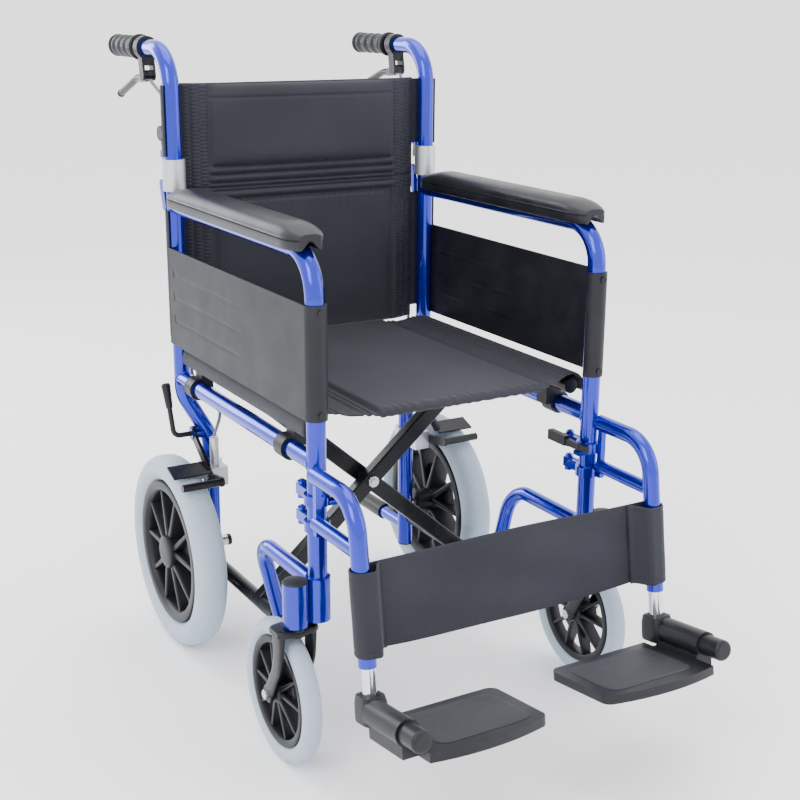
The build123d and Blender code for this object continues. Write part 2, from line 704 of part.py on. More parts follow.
def footplate_bracket(s):
    """Collar at the leg's foot with the footplate's pivot and its end knob."""
    axis_w = -(plate_drop - hinge_rise)
    with BuildPart(leg_frame(s)) as bracket:
        with Locations((0, 0, -(bracket_end + 34) / 2)):
            Cylinder(bracket_d / 2, bracket_end - 34)
        with Locations(Location((s * hinge_out, -barrel_start, axis_w), (90, 0, 0))):
            Cylinder(barrel_d / 2 - 6, barrel_start - 1, align=(Align.CENTER, Align.CENTER, Align.MAX))
            Cylinder(hinge_pin_low / 2, barrel_end - barrel_start + 1,
                     align=(Align.CENTER, Align.CENTER, Align.MIN))
        with Locations(Location((s * hinge_out, -barrel_end - 0.5, axis_w), (90, 0, 0))):
            Cylinder(knob_d / 2, knob_end - barrel_end, align=(Align.CENTER, Align.CENTER, Align.MIN))
        fillet(bracket.faces().sort_by(Axis.Y)[0].edges(), radius=5)
        with Locations((0, 0, -bracket_end + 1.5)):
            Cylinder(leg_d / 2 + run, bracket_end, mode=Mode.SUBTRACT,
                     align=(Align.CENTER, Align.CENTER, Align.MIN))
    return bracket.part


def footplate(s):
    """Moulded plate with the barrel that turns on the bracket's pivot."""
    axis_w = -(plate_drop - hinge_rise)
    inner, outer = plate_width + 9, 9
    rear, front = 5, plate_depth - 6
    notch = 19
    with BuildPart(leg_frame(s)) as plate:
        with BuildSketch(leg_frame(s).offset(-plate_drop - plate_thick)):
            with BuildLine():
                Polyline((-s * outer, -front + 8), (-s * outer, -barrel_start), (-s * notch, -barrel_start),
                         (-s * notch, rear), (-s * inner, rear), (-s * inner, -front + 14))
                ThreePointArc((-s * inner, -front + 14), (-s * (inner + outer) / 2, -front - 1),
                              (-s * outer, -front + 8))
            make_face()
        extrude(amount=plate_thick)
        upright = Axis((0, 0, 0), (0, sin(leg_lean), cos(leg_lean)))
        fillet(plate.edges().filter_by(upright).group_by(Axis.X)[0 if s > 0 else -1], radius=14)
        with Locations((-s * 1, -(barrel_start + barrel_end) / 2, -plate_drop - plate_thick / 2 + 4)):
            Box(26, barrel_end - barrel_start, plate_thick + 8)
        with Locations(Location((s * hinge_out, -barrel_start, axis_w), (90, 0, 0))):
            Cylinder(barrel_d / 2, barrel_end - barrel_start, align=(Align.CENTER, Align.CENTER, Align.MIN))
            Cylinder(hinge_pin_low / 2 + run, barrel_end - barrel_start, mode=Mode.SUBTRACT,
                     align=(Align.CENTER, Align.CENTER, Align.MIN))
    return plate.part


strap_wall = 2.2


def calf_strap():
    """Fabric band behind the calves, looped round both hangers."""
    inner = hanger_d / 2 + apart
    low = (strap_low_z - hanger_foot_z) / cos(leg_lean)
    high = (strap_high_z - hanger_foot_z) / cos(leg_lean)
    middle = Plane((0, front_y - hanger_foot, hanger_foot_z), x_dir=(1, 0, 0),
                   z_dir=(0, sin(leg_lean), cos(leg_lean)))
    with BuildPart() as strap:
        with BuildSketch(middle.offset(low)):
            with Locations((0, inner + strap_wall / 2)):
                Rectangle(2 * hanger_x, strap_wall)
            with Locations((-hanger_x, 0), (hanger_x, 0)):
                Circle(inner + strap_wall)
            with Locations((-hanger_x, 0), (hanger_x, 0)):
                Circle(inner, mode=Mode.SUBTRACT)
        extrude(amount=high - low)
    return strap.part


# ---------------------------------------------------------------- cross brace
bar_wall = 1.6


def cross_bar(s, y):
    """Folding bar from the lower tube on one side to the seat rail on the other."""
    foot = Vector(s * pivot_half, y, pivot_z)
    head = Vector(-s * rail_half, y, rail_z)
    along = (head - foot).normalized()
    length = (head - foot).length
    start = 3.0
    section = Plane(tuple(foot + along * start), x_dir=(0, 1, 0), z_dir=tuple(along))
    slim_inner = slim_d - 2 * slim_wall
    with BuildPart() as bar:
        with BuildSketch(section):
            RectangleRounded(bar_depth, bar_w, 3)
            RectangleRounded(bar_depth - 2 * bar_wall, bar_w - 2 * bar_wall, 1.5, mode=Mode.SUBTRACT)
        extrude(amount=length - 2 * start)
        rod([(foot.X, tube_front, foot.Z), (foot.X, tube_rear, foot.Z)], slim_d)
        rod([(foot.X, tube_front, foot.Z), (foot.X, tube_rear, foot.Z)], stud_d + 2 * run, mode=Mode.SUBTRACT)
        rod([(head.X, front_y + rail_start, head.Z), (head.X, front_y + rail_end, head.Z)], slim_d)
        rod([(head.X, front_y + rail_start + 3, head.Z), (head.X, front_y + rail_end - 3, head.Z)],
            slim_inner, mode=Mode.SUBTRACT)
        rod([(0, y - bar_depth, cross_z), (0, y + bar_depth, cross_z)], bolt_d + 2 * run, mode=Mode.SUBTRACT)
    return bar.part


def cross_bolt():
    """Bolt, spacer and nut where the two folding bars cross."""
    front = bar_a_y - bar_depth / 2
    back = bar_b_y + bar_depth / 2
    with BuildPart() as bolt:
        rod([(0, front - 9, cross_z), (0, back + 9, cross_z)], bolt_d)
        rod([(0, front - 6, cross_z), (0, front, cross_z)], bolt_d + 7)
        rod([(0, front + bar_depth, cross_z), (0, back - bar_depth - 0.3, cross_z)], bolt_d + 8)
        rod([(0, back + 0.3, cross_z), (0, back + 7, cross_z)], bolt_d + 7)
    return bolt.part


# ---------------------------------------------------------------- upholstery
seat_low = 9.0           # panel's underside above the rail's axis
seat_edge = 213.0        # outboard edge between the posts
sleeve_wall = 2.3
sleeve_inner_d = slim_d + 0.5
bar_clear = 6.0          # free run of the rail on both sides of the folding bars
saddle_clear = 6.0       # and on both sides of its saddles
seat_corner = 184.0      # front corners, cut back to pass the posts as the chair folds
seat_notch = 20.0        # from the front post's axis to the cut's rear edge


def seat_panel(*outline):
    """Flat panel at the seat's level with a chamfered front edge."""
    with BuildPart() as panel:
        with BuildSketch(Plane.XY.offset(rail_z + seat_low)):
            with BuildLine():
                Polyline(*outline, close=True)
            make_face()
        extrude(amount=seat_thick)
        chamfer(panel.faces().sort_by(Axis.Z)[-1].edges().filter_by(Axis.X).group_by(Axis.Y)[0], length=5)
    return panel.part


def seat_half(s):
    """Half of the seat: a panel with two sleeves that turn round its rail."""
    y0, y1 = front_y + seat_front, front_y + seat_rear
    inner = s * (seat_middle_width / 2 + seat_joint_gap)
    x = s * rail_half
    sleeves = ((front_y + saddle_places[0] + saddle_length + saddle_clear, bar_a_y - bar_depth / 2 - bar_clear),
               (bar_b_y + bar_depth / 2 + bar_clear, front_y + saddle_places[1] - saddle_clear))
    with BuildPart() as half:
        add(seat_panel((inner, y0), (inner, y1), (s * seat_edge, y1), (s * seat_edge, front_y + seat_notch),
                       (s * seat_corner, front_y + seat_notch), (s * seat_corner, y0)))
        for start, end in sleeves:
            rod([(x, start, rail_z), (x, end, rail_z)], sleeve_inner_d + 2 * sleeve_wall)
        rod([(x, y0 - 1, rail_z), (x, y1 + 1, rail_z)], sleeve_inner_d, mode=Mode.SUBTRACT)
    return half.part


def seat_middle():
    """Strip of the sling between the two halves, where the seat bends up."""
    y0, y1 = front_y + seat_front, front_y + seat_rear
    edge = seat_middle_width / 2
    return seat_panel((-edge, y0), (-edge, y1), (edge, y1), (edge, y0))


def back_lower():
    """Backrest fabric below the fold."""
    rear_post_in = half_track - post_d / 2
    inner = post_d / 2 + apart
    with BuildPart() as back:
        block((-rear_post_in + apart, rear_post_in - apart), (rear_y - 10, rear_y - 10 + back_thick),
              (back_low_z, post_split_z - 2))
        fillet(back.edges().filter_by(Axis.Z), radius=5)
        fillet(back.faces().sort_by(Axis.Z)[0].edges(), radius=4)
        for side in (-1, 1):
            ring_z(side * half_track, rear_y, skirt_low_z + skirt_height + 6, post_split_z - 35,
                   2 * inner + 3, 2 * inner)
    return back.part


def back_upper():
    """Backrest fabric above the fold, with the padded top."""
    width = half_track - sleeve_d / 2 - apart
    inner = post_d / 2 + apart
    with BuildPart() as back:
        block((-width, width), (rear_y - 10, rear_y - 10 + back_thick), (post_split_z + 3, back_top_z))
        fillet(back.edges().filter_by(Axis.Z), radius=5)
        fillet(back.faces().sort_by(Axis.Z)[-1].edges(), radius=8)
        for side in (-1, 1):
            block((side * (width - 4), side * (half_track - inner)), (rear_y - 3, rear_y + 3),
                  (lock_z + 12, handle_z - handle_bend - 2))
            ring_z(side * half_track, rear_y, lock_z + 12, handle_z - handle_bend - 2, 2 * inner + 3, 2 * inner)
    return back.part


# ---------------------------------------------------------------- make every sub-part
os.makedirs("parts", exist_ok=True)
sided = {
    "side_frame": side_frame, "arm_pad": arm_pad, "skirt_panel": skirt_panel,
    "frame_fittings": frame_fittings, "rear_axle": rear_axle, "rear_tyre": rear_tyre,
    "rear_rim": rear_rim, "brake_block": brake_block, "brake_shoe": brake_shoe, "park_shoe": park_shoe,
    "park_lever": park_lever, "caster_fork": caster_fork, "caster_tyre": caster_tyre,
    "caster_rim": caster_rim, "push_post": push_post, "grip": grip, "hinge_sleeve": hinge_sleeve,
    "back_lock_lever": back_lock_lever, "lever_mount": lever_mount, "brake_lever": brake_lever,
    "brake_cable": brake_cable, "hanger": hanger, "hanger_latch": hanger_latch, "leg_tube": leg_tube,
    "footplate_bracket": footplate_bracket, "footplate": footplate, "seat_half": seat_half,
}
for side, s in sides.items():
    for name, make in sided.items():
        save(make(s), f"{name}_{side}")
save(cross_bar(-1, bar_a_y), "cross_bar_a")
save(cross_bar(1, bar_b_y), "cross_bar_b")
save(cross_bolt(), "cross_bolt")
save(calf_strap(), "calf_strap")
save(back_lower(), "back_lower")
save(back_upper(), "back_upper")
save(seat_middle(), "seat_middle")
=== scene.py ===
import bpy
import bmesh
import math
import numpy as np
from mathutils import Matrix, Vector


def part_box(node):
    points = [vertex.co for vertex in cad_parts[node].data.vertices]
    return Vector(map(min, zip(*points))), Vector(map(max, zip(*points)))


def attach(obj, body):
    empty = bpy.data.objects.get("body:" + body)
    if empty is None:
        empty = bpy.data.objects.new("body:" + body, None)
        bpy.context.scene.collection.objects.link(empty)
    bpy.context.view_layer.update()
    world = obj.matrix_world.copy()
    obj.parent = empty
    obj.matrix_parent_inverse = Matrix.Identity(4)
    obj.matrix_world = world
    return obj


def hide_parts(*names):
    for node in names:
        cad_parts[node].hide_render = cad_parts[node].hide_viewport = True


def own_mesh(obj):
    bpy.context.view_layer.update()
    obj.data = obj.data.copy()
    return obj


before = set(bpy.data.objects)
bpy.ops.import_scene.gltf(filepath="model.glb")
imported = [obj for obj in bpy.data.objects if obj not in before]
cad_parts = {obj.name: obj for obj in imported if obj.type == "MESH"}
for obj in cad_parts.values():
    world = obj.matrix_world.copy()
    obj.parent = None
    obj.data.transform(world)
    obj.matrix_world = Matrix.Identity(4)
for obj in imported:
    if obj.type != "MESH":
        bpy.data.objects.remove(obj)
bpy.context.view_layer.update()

# ---------------------------------------------------------------- camera
# A short telephoto in front and to the right of the chair, a little above the armrests.
# Everything is placed from the two front posts, whose axis is FRONT from the middle.
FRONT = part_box("caster_fork_r")[0].y + 0.014
REAR = FRONT + 0.458
turn, tilt, roll = math.radians(-30.31), math.radians(16.51), math.radians(0.36)
behind = Vector((math.sin(turn) * math.cos(tilt), -math.cos(turn) * math.cos(tilt), math.sin(tilt)))
level = (-behind).cross(Vector((0, 0, 1))).normalized()
upright = level.cross(-behind)
across = math.cos(roll) * level + math.sin(roll) * upright
above = -math.sin(roll) * level + math.cos(roll) * upright
camera = bpy.data.objects.new("camera", bpy.data.cameras.new("camera"))
bpy.context.collection.objects.link(camera)
camera.data.sensor_width = 36
camera.data.lens = 60.82515
camera.data.clip_end = 50
camera.matrix_world = Matrix.Translation((-0.9421, FRONT - 1.4488, 0.9937)) @ Matrix(
    (across, above, behind)).transposed().to_4x4()
bpy.context.scene.camera = camera


# ---------------------------------------------------------------- studio
# A white paper floor under soft boxes: a large one high on the left, one overhead, a weaker
# cool one on the right, and a strip behind that draws a rim on the tubes.
def linear(code):
    """Linear RGBA of an sRGB hex colour."""
    value = np.array([int(code[i:i + 2], 16) for i in (1, 3, 5)]) / 255
    value = np.where(value <= 0.04045, value / 12.92, ((value + 0.055) / 1.055) ** 2.4)
    return (*value.tolist(), 1.0)


def add(tree, kind, settings=None, **sockets):
    """Adds a shader node; a socket takes a value or another node's output."""
    made = tree.nodes.new(kind)
    for key, value in (settings or {}).items():
        setattr(made, key, value)
    for key, value in sockets.items():
        name = key.replace("_", " ")
        socket = made.inputs[int(name[1:])] if name[0] == "i" and name[1:].isdigit() else made.inputs[name]
        if isinstance(value, bpy.types.NodeSocket):
            tree.links.new(value, socket)
        else:
            socket.default_value = value
    return made


world = bpy.data.worlds.new("studio")
bpy.context.scene.world = world
world.use_nodes = True
world.node_tree.nodes["Background"].inputs["Color"].default_value = linear("#ffffff")
world.node_tree.nodes["Background"].inputs["Strength"].default_value = 2.1
for name, place, target, width, height, power, colour in (
        ("key_box", (-2.6, -1.6, 2.6), (0, 0, 0.5), 1.6, 2.2, 60, "#ffffff"),
        ("fill_box", (2.6, -1.8, 1.4), (0, 0, 0.5), 1.4, 2.0, 22, "#c9c4ff"),
        ("top_box", (0.2, 0.3, 3.2), (0, 0, 0.4), 2.4, 2.4, 45, "#ffffff"),
        ("rim_strip", (-1.2, 2.6, 1.6), (0, 0, 0.6), 0.7, 2.0, 40, "#eef4ff")):
    lamp = bpy.data.lights.new(name, "AREA")
    lamp.shape, lamp.size, lamp.size_y, lamp.energy = "RECTANGLE", width, height, power
    lamp.color = linear(colour)[:3]
    holder = bpy.data.objects.new(name, lamp)
    bpy.context.collection.objects.link(holder)
    holder.matrix_world = Matrix.Translation(place) @ (
        Vector(place) - Vector(target)).to_track_quat("Z", "Y").to_matrix().to_4x4()


def tree_of(name):
    """A new material with an output and nothing else, and its node tree."""
    made = bpy.data.materials.new(name)
    made.use_nodes = True
    made.node_tree.nodes.clear()
    made.node_tree.nodes.new("ShaderNodeOutputMaterial")
    return made, made.node_tree


def close(made, shader):
    """Joins the shader to the material's output."""
    made.node_tree.links.new(shader.outputs[0], made.node_tree.nodes["Material Output"].inputs[0])
    return made


paper, t = tree_of("white_paper")
close(paper, add(t, "ShaderNodeBsdfPrincipled", Base_Color=linear("#ffffff"), Roughness=0.9))
floor_mesh = bpy.data.meshes.new("floor")
floor_mesh.from_pydata([(-9, -9, 0), (9, -9, 0), (9, 9, 0), (-9, 9, 0)], [], [(0, 1, 2, 3)])
floor_mesh.materials.append(paper)
floor = bpy.data.objects.new("floor", floor_mesh)
bpy.context.collection.objects.link(floor)


# ---------------------------------------------------------------- side frames and hangers
# Bent and welded steel tube in a candy blue: a bright metallic ground under a tinted clear
# coat, so the lit side is azure and the shaded side goes to indigo.
candy, t = tree_of("candy_blue_enamel")
place = add(t, "ShaderNodeTexCoord").outputs["Object"]
flake = add(t, "ShaderNodeTexVoronoi", Vector=place, Scale=2600.0)       # 0.4 mm metal flake
peel = add(t, "ShaderNodeTexNoise", Vector=place, Scale=260.0, Detail=2.0)   # 4 mm orange peel
tone = add(t, "ShaderNodeTexNoise", Vector=place, Scale=14.0, Detail=3.0)
ramp = add(t, "ShaderNodeValToRGB", Fac=flake.outputs["Color"])
ramp.color_ramp.elements[0].color = linear("#08158c")
ramp.color_ramp.elements[1].color = linear("#0f34c0")
shade = add(t, "ShaderNodeMapRange", Value=tone.outputs["Fac"], From_Min=0.3, From_Max=0.7,
            To_Min=0.2, To_Max=0.27)
bump = add(t, "ShaderNodeBump", Height=peel.outputs["Fac"], Strength=0.035, Distance=0.001)
close(candy, add(t, "ShaderNodeBsdfPrincipled", Base_Color=ramp.outputs["Color"], Metallic=0.82,
                 Roughness=shade.outputs[0], Normal=bump.outputs[0], Coat_Weight=0.9, Coat_Roughness=0.04,
                 Coat_Tint=linear("#a9bdff")))


def dress(made, *nodes):
    """Gives CAD nodes of both sides a material, on whatever slots they have."""
    for node in nodes:
        for name in (node, f"{node}_r", f"{node}_l"):
            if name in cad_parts:
                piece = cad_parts[name]
                piece.data.materials.clear()
                piece.data.materials.append(made)


dress(candy, "side_frame", "push_post", "hanger")


# ---------------------------------------------------------------- rear wheels
# A solid polyurethane tyre, foam-moulded in light grey with a fine random tread, pressed on a
# glass-filled nylon wheel: flange ring, five V-shaped double spokes, hub and end cap.
AXLE_Y, AXLE_Z, WHEEL_X = REAR - 0.009, 0.153, 0.2385


def quads(grid, wrap_rows=False, wrap_cols=False):
    """Points and four-cornered faces of a grid, joined round in either direction."""
    index = np.arange(grid.shape[0] * grid.shape[1]).reshape(grid.shape[:2])
    if wrap_rows:
        index = np.concatenate([index, index[:1]])
    if wrap_cols:
        index = np.concatenate([index, index[:, :1]], axis=1)
    corners = [index[:-1, :-1], index[1:, :-1], index[1:, 1:], index[:-1, 1:]]
    return grid.reshape(-1, 3), np.stack(corners, -1).reshape(-1, 4)


def build(name, parts, made, body, nodes=(), crease=38):
    """One object from several closed grids: seams and poles merged, faces turned outwards."""
    start = np.cumsum([0] + [len(points) for points, faces in parts])
    points = np.concatenate([points for points, faces in parts])
    faces = np.concatenate([faces + first for (_, faces), first in zip(parts, start)])
    mesh = bpy.data.meshes.new(name)
    mesh.from_pydata(points.tolist(), [], faces.tolist())
    shape = bmesh.new()
    shape.from_mesh(mesh)
    bmesh.ops.remove_doubles(shape, verts=shape.verts, dist=3e-6)
    bmesh.ops.recalc_face_normals(shape, faces=shape.faces)
    shape.to_mesh(mesh)
    shape.free()
    mesh.polygons.foreach_set("use_smooth", np.ones(len(mesh.polygons), bool))
    mesh.set_sharp_from_angle(angle=math.radians(crease))
    mesh.materials.append(made)
    piece = bpy.data.objects.new(name, mesh)
    bpy.context.collection.objects.link(piece)
    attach(piece, body)
    if nodes:
        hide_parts(*nodes)
    return piece


def turned(outline, side, x, y, z, segments=128):
    """A closed outline of (outboard distance, radius) in mm turned round an axle along X."""
    out, radius = np.array(outline, float).T / 1000
    angle = np.linspace(0, 2 * np.pi, segments, endpoint=False)[:, None]
    grid = np.stack([np.broadcast_to(side * (x + out), (segments, len(out))),
                     y + radius * np.cos(angle), z + radius * np.sin(angle)], -1)
    return quads(grid, True, True)


def bar(path, across, width, depth, power=2.0, around=24, bevel=0.0012):
    """A rounded-rectangle outline carried along a path; its ends are bevelled and closed."""
    path = np.array(path, float)
    run = np.gradient(path, axis=0)
    run /= np.linalg.norm(run, axis=1, keepdims=True)
    flat = np.broadcast_to(np.array(across, float), path.shape)
    flat = flat - (flat * run).sum(1, keepdims=True) * run
    flat /= np.linalg.norm(flat, axis=1, keepdims=True)
    thick = np.cross(run, flat)
    turn = np.linspace(0, 2 * np.pi, around, endpoint=False)
    round_x = np.sign(np.cos(turn)) * np.abs(np.cos(turn)) ** (2 / power)
    round_y = np.sign(np.sin(turn)) * np.abs(np.sin(turn)) ** (2 / power)
    half_w = np.broadcast_to(np.array(width, float) / 2, len(path))[:, None, None]
    half_d = np.broadcast_to(np.array(depth, float) / 2, len(path))[:, None, None]
    offset = (half_w * round_x[None, :, None] * flat[:, None]
              + half_d * round_y[None, :, None] * thick[:, None])
    rings = path[:, None] + offset
    first = [path[:1, None] + 0 * offset[:1], path[:1, None] + 0.8 * offset[:1],
             rings[:1] + bevel * run[:1, None]]
    last = [rings[-1:] - bevel * run[-1:, None], path[-1:, None] + 0.8 * offset[-1:],
            path[-1:, None] + 0 * offset[-1:]]
    return quads(np.concatenate([*first, rings[1:-1], *last]), False, True)


def grey_tyre(name, grain, height, groove):
    """Matte grey polyurethane; its tread, ribs or pits, begins between two radii round the axle."""
    made, t = tree_of(name)
    place = add(t, "ShaderNodeTexCoord").outputs["Object"]
    cloud = add(t, "ShaderNodeTexNoise", Vector=place, Scale=9.0, Detail=4.0)
    colour = add(t, "ShaderNodeValToRGB", Fac=cloud.outputs["Fac"])
    colour.color_ramp.elements[0].color = linear("#93a3b3")
    colour.color_ramp.elements[1].color = linear("#a8b6c4")
    # distance from the axle, so that only the tread is textured
    spoke = add(t, "ShaderNodeVectorMath", {"operation": "MULTIPLY_ADD"}, i0=place, i1=(0, 1, 1),
                i2=(0, -grain["y"], -grain["z"]))
    far = add(t, "ShaderNodeVectorMath", {"operation": "LENGTH"}, i0=spoke.outputs[0])
    tread = add(t, "ShaderNodeMapRange", {"clamp": True}, Value=far.outputs["Value"],
                From_Min=grain["low"], From_Max=grain["high"])
    if groove:      # ribs run round the wheel, 2.4 mm apart
        wave = add(t, "ShaderNodeTexWave", {"bands_direction": "X", "wave_profile": "SIN"}, Vector=place,
                   Scale=2 * math.pi / 20 / 0.0024, Distortion=0.6, Detail=1.0, Detail_Scale=30.0)
        relief = wave.outputs["Fac"]
    else:           # random shallow pits about 3 mm across
        pits = add(t, "ShaderNodeTexVoronoi", {"feature": "SMOOTH_F1"}, Vector=place, Scale=330.0)
        relief = pits.outputs["Distance"]
    lifted = add(t, "ShaderNodeMath", {"operation": "MULTIPLY"}, i0=relief, i1=tread.outputs[0])
    soft = add(t, "ShaderNodeTexNoise", Vector=place, Scale=900.0, Detail=2.0)
    both = add(t, "ShaderNodeMath", {"operation": "MULTIPLY_ADD"}, i0=soft.outputs["Fac"], i1=0.12,
               i2=lifted.outputs[0])
    bump = add(t, "ShaderNodeBump", Height=both.outputs[0], Strength=0.55, Distance=height)
    return close(made, add(t, "ShaderNodeBsdfPrincipled", Base_Color=colour.outputs["Color"], Roughness=0.62,
                           Normal=bump.outputs[0], Subsurface_Weight=0.05, Subsurface_Scale=0.01))


rear_rubber = grey_tyre("grey_polyurethane_tyre", {"y": AXLE_Y, "z": AXLE_Z, "low": 0.141, "high": 0.147},
                        0.0011, False)


def black_plastic(name, code, light, roughness, grain, depth):
    """Moulded black plastic: a spark-eroded grain of the given size in mm, slightly uneven in tone."""
    made, t = tree_of(name)
    place = add(t, "ShaderNodeTexCoord").outputs["Object"]
    fine = add(t, "ShaderNodeTexNoise", Vector=place, Scale=1000 / grain, Detail=3.0)
    cloud = add(t, "ShaderNodeTexNoise", Vector=place, Scale=22.0, Detail=4.0)
    colour = add(t, "ShaderNodeValToRGB", Fac=cloud.outputs["Fac"])
    colour.color_ramp.elements[0].position, colour.color_ramp.elements[1].position = 0.35, 0.7
    colour.color_ramp.elements[0].color = linear(code)
    colour.color_ramp.elements[1].color = linear(light)
    rough = add(t, "ShaderNodeMapRange", Value=cloud.outputs["Fac"], From_Min=0.3, From_Max=0.7,
                To_Min=roughness - 0.06, To_Max=roughness + 0.06)
    bump = add(t, "ShaderNodeBump", Height=fine.outputs["Fac"], Strength=0.3, Distance=depth)
    return close(made, add(t, "ShaderNodeBsdfPrincipled", Base_Color=colour.outputs["Color"],
                           Roughness=rough.outputs[0], Normal=bump.outputs[0], Specular_IOR_Level=0.28))


wheel_nylon = black_plastic("glass_filled_nylon", "#141519", "#1d1e24", 0.42, 1.1, 0.0004)


def spokes(side, x, y, z, count, inner, outer, spread, width, depth):
    """Pairs of tapered bars that leave the hub close together and spread towards the rim."""
    parts = []
    for number in range(count):
        middle = math.radians(90 + number * 360 / count)
        for lean in (-1, 1):
            start, end = middle + lean * math.radians(spread[0]), middle + lean * math.radians(spread[1])
            share = np.linspace(0, 1, 6)[:, None]
            root = np.array([side * x, y + inner * math.cos(start), z + inner * math.sin(start)])
            tip = np.array([side * x, y + outer * math.cos(end), z + outer * math.sin(end)])
            parts.append(bar(root + share * (tip - root), (1, 0, 0), np.interp(share[:, 0], (0, 1), depth),
                             np.interp(share[:, 0], (0, 1), width), 7, 28))
        share = np.linspace(0, 1, 5)[:, None]
        root = np.array([side * x, y + inner * math.cos(middle), z + inner * math.sin(middle)])
        tip = np.array([side * x, y + 0.62 * outer * math.cos(middle), z + 0.62 * outer * math.sin(middle)])
        parts.append(bar(root + share * (tip - root), (1, 0, 0), depth[1] * 0.3,
                         np.interp(share[:, 0], (0, 1), (0.3, 1.3)) * outer * math.radians(spread[1]), 4, 20))
    return parts


def tyre_outline(half_width, middle, half_height):
    """A tyre's section in mm, a little square in the shoulders and drawn in at the wheel."""
    turn = np.linspace(0, 2 * np.pi, 72, endpoint=False)
    bulge = np.sign(np.cos(turn)) * np.abs(np.cos(turn)) ** 0.85
    rise = np.sign(np.sin(turn)) * np.abs(np.sin(turn)) ** 0.9
    waist = np.where(rise < 0, 1 - 0.2 * rise ** 2, 1)
    return np.stack([half_width * bulge * waist, middle + half_height * rise], 1)


for side, mark in ((-1, "r"), (1, "l")):
    tyre = tyre_outline(24.8, 132, 21)
    build(f"rear_tyre_skin_{mark}", [turned(tyre, side, WHEEL_X, AXLE_Y, AXLE_Z, 160)], rear_rubber,
          f"rear_wheel_{mark}", [f"rear_tyre_{mark}"])
    flange = [(-17, 114), (-19.5, 112.5), (-20, 110), (-19.4, 101), (-17.5, 98.5), (-10, 95.5), (10, 95.5),
              (17.5, 98.5), (19.4, 101), (20, 110), (19.5, 112.5), (17, 114)]
    hub = [(-41, 6.2), (-41, 17), (-39.5, 19), (-14, 19.5), (-12, 23), (12, 24), (15, 26), (20, 26.3),
           (23, 25), (24.6, 21.5), (25.4, 12), (25.6, 0), (14, 0), (14, 6.2)]
    build(f"rear_wheel_moulding_{mark}", [turned(flange, side, WHEEL_X, AXLE_Y, AXLE_Z, 128),
          turned(hub, side, WHEEL_X, AXLE_Y, AXLE_Z, 64),
          *spokes(side, WHEEL_X, AXLE_Y, AXLE_Z, 5, 0.021, 0.0975, (9, 17.5), (0.010, 0.0065),
                  (0.036, 0.030))],
          wheel_nylon, f"rear_wheel_{mark}", [f"rear_rim_{mark}"])


# ---------------------------------------------------------------- casters
# The same polyurethane, ribbed round the wheel, on a smaller moulded wheel; a black-painted
# cast fork with swept arms, its bright bolt, and a rubber cap on the stem's housing.
CASTER_X, CASTER_Y, CASTER_Z = 0.250, FRONT + 0.043, 0.100
caster_rubber = grey_tyre("grey_polyurethane_ribbed",
                          {"y": CASTER_Y, "z": CASTER_Z, "low": 0.088, "high": 0.093}, 0.0007, True)
fork_paint = black_plastic("black_powder_coat", "#0e0f12", "#16171b", 0.28, 2.2, 0.0003)
cap_rubber = black_plastic("black_moulded_rubber", "#17181c", "#222329", 0.5, 1.4, 0.0004)

plated, t = tree_of("zinc_plated_steel")
place = add(t, "ShaderNodeTexCoord").outputs["Object"]
spangle = add(t, "ShaderNodeTexNoise", Vector=place, Scale=420.0, Detail=3.0)
wear = add(t, "ShaderNodeMapRange", Value=spangle.outputs["Fac"], From_Min=0.3, From_Max=0.7,
           To_Min=0.18, To_Max=0.36)
close(plated, add(t, "ShaderNodeBsdfPrincipled", Base_Color=linear("#c9cbd0"), Metallic=1.0,
                  Roughness=wear.outputs[0]))


def softened(points, times=3):
    """Corners cut again and again, at a quarter from each end, until the path is smooth."""
    points = np.array(points, float)
    for _ in range(times):
        cut = np.stack([0.75 * points[:-1] + 0.25 * points[1:], 0.25 * points[:-1] + 0.75 * points[1:]], 1)
        points = np.concatenate([points[:1], cut.reshape(-1, 3), points[-1:]])
    return points


def share_of(path):
    """How far along a path each of its points lies, from 0 to 1."""
    length = np.concatenate([[0], np.cumsum(np.linalg.norm(np.diff(path, axis=0), axis=1))])
    return length / length[-1]


def stood(outline, x, y, segments=48):
    """A closed outline of (radius in mm, height in m) turned round an upright axis."""
    radius, height = np.array(outline, float).T
    angle = np.linspace(0, 2 * np.pi, segments, endpoint=False)[:, None]
    grid = np.stack([x + radius / 1000 * np.cos(angle), y + radius / 1000 * np.sin(angle),
                     np.broadcast_to(height, (segments, len(height)))], -1)
    return quads(grid, True, True)


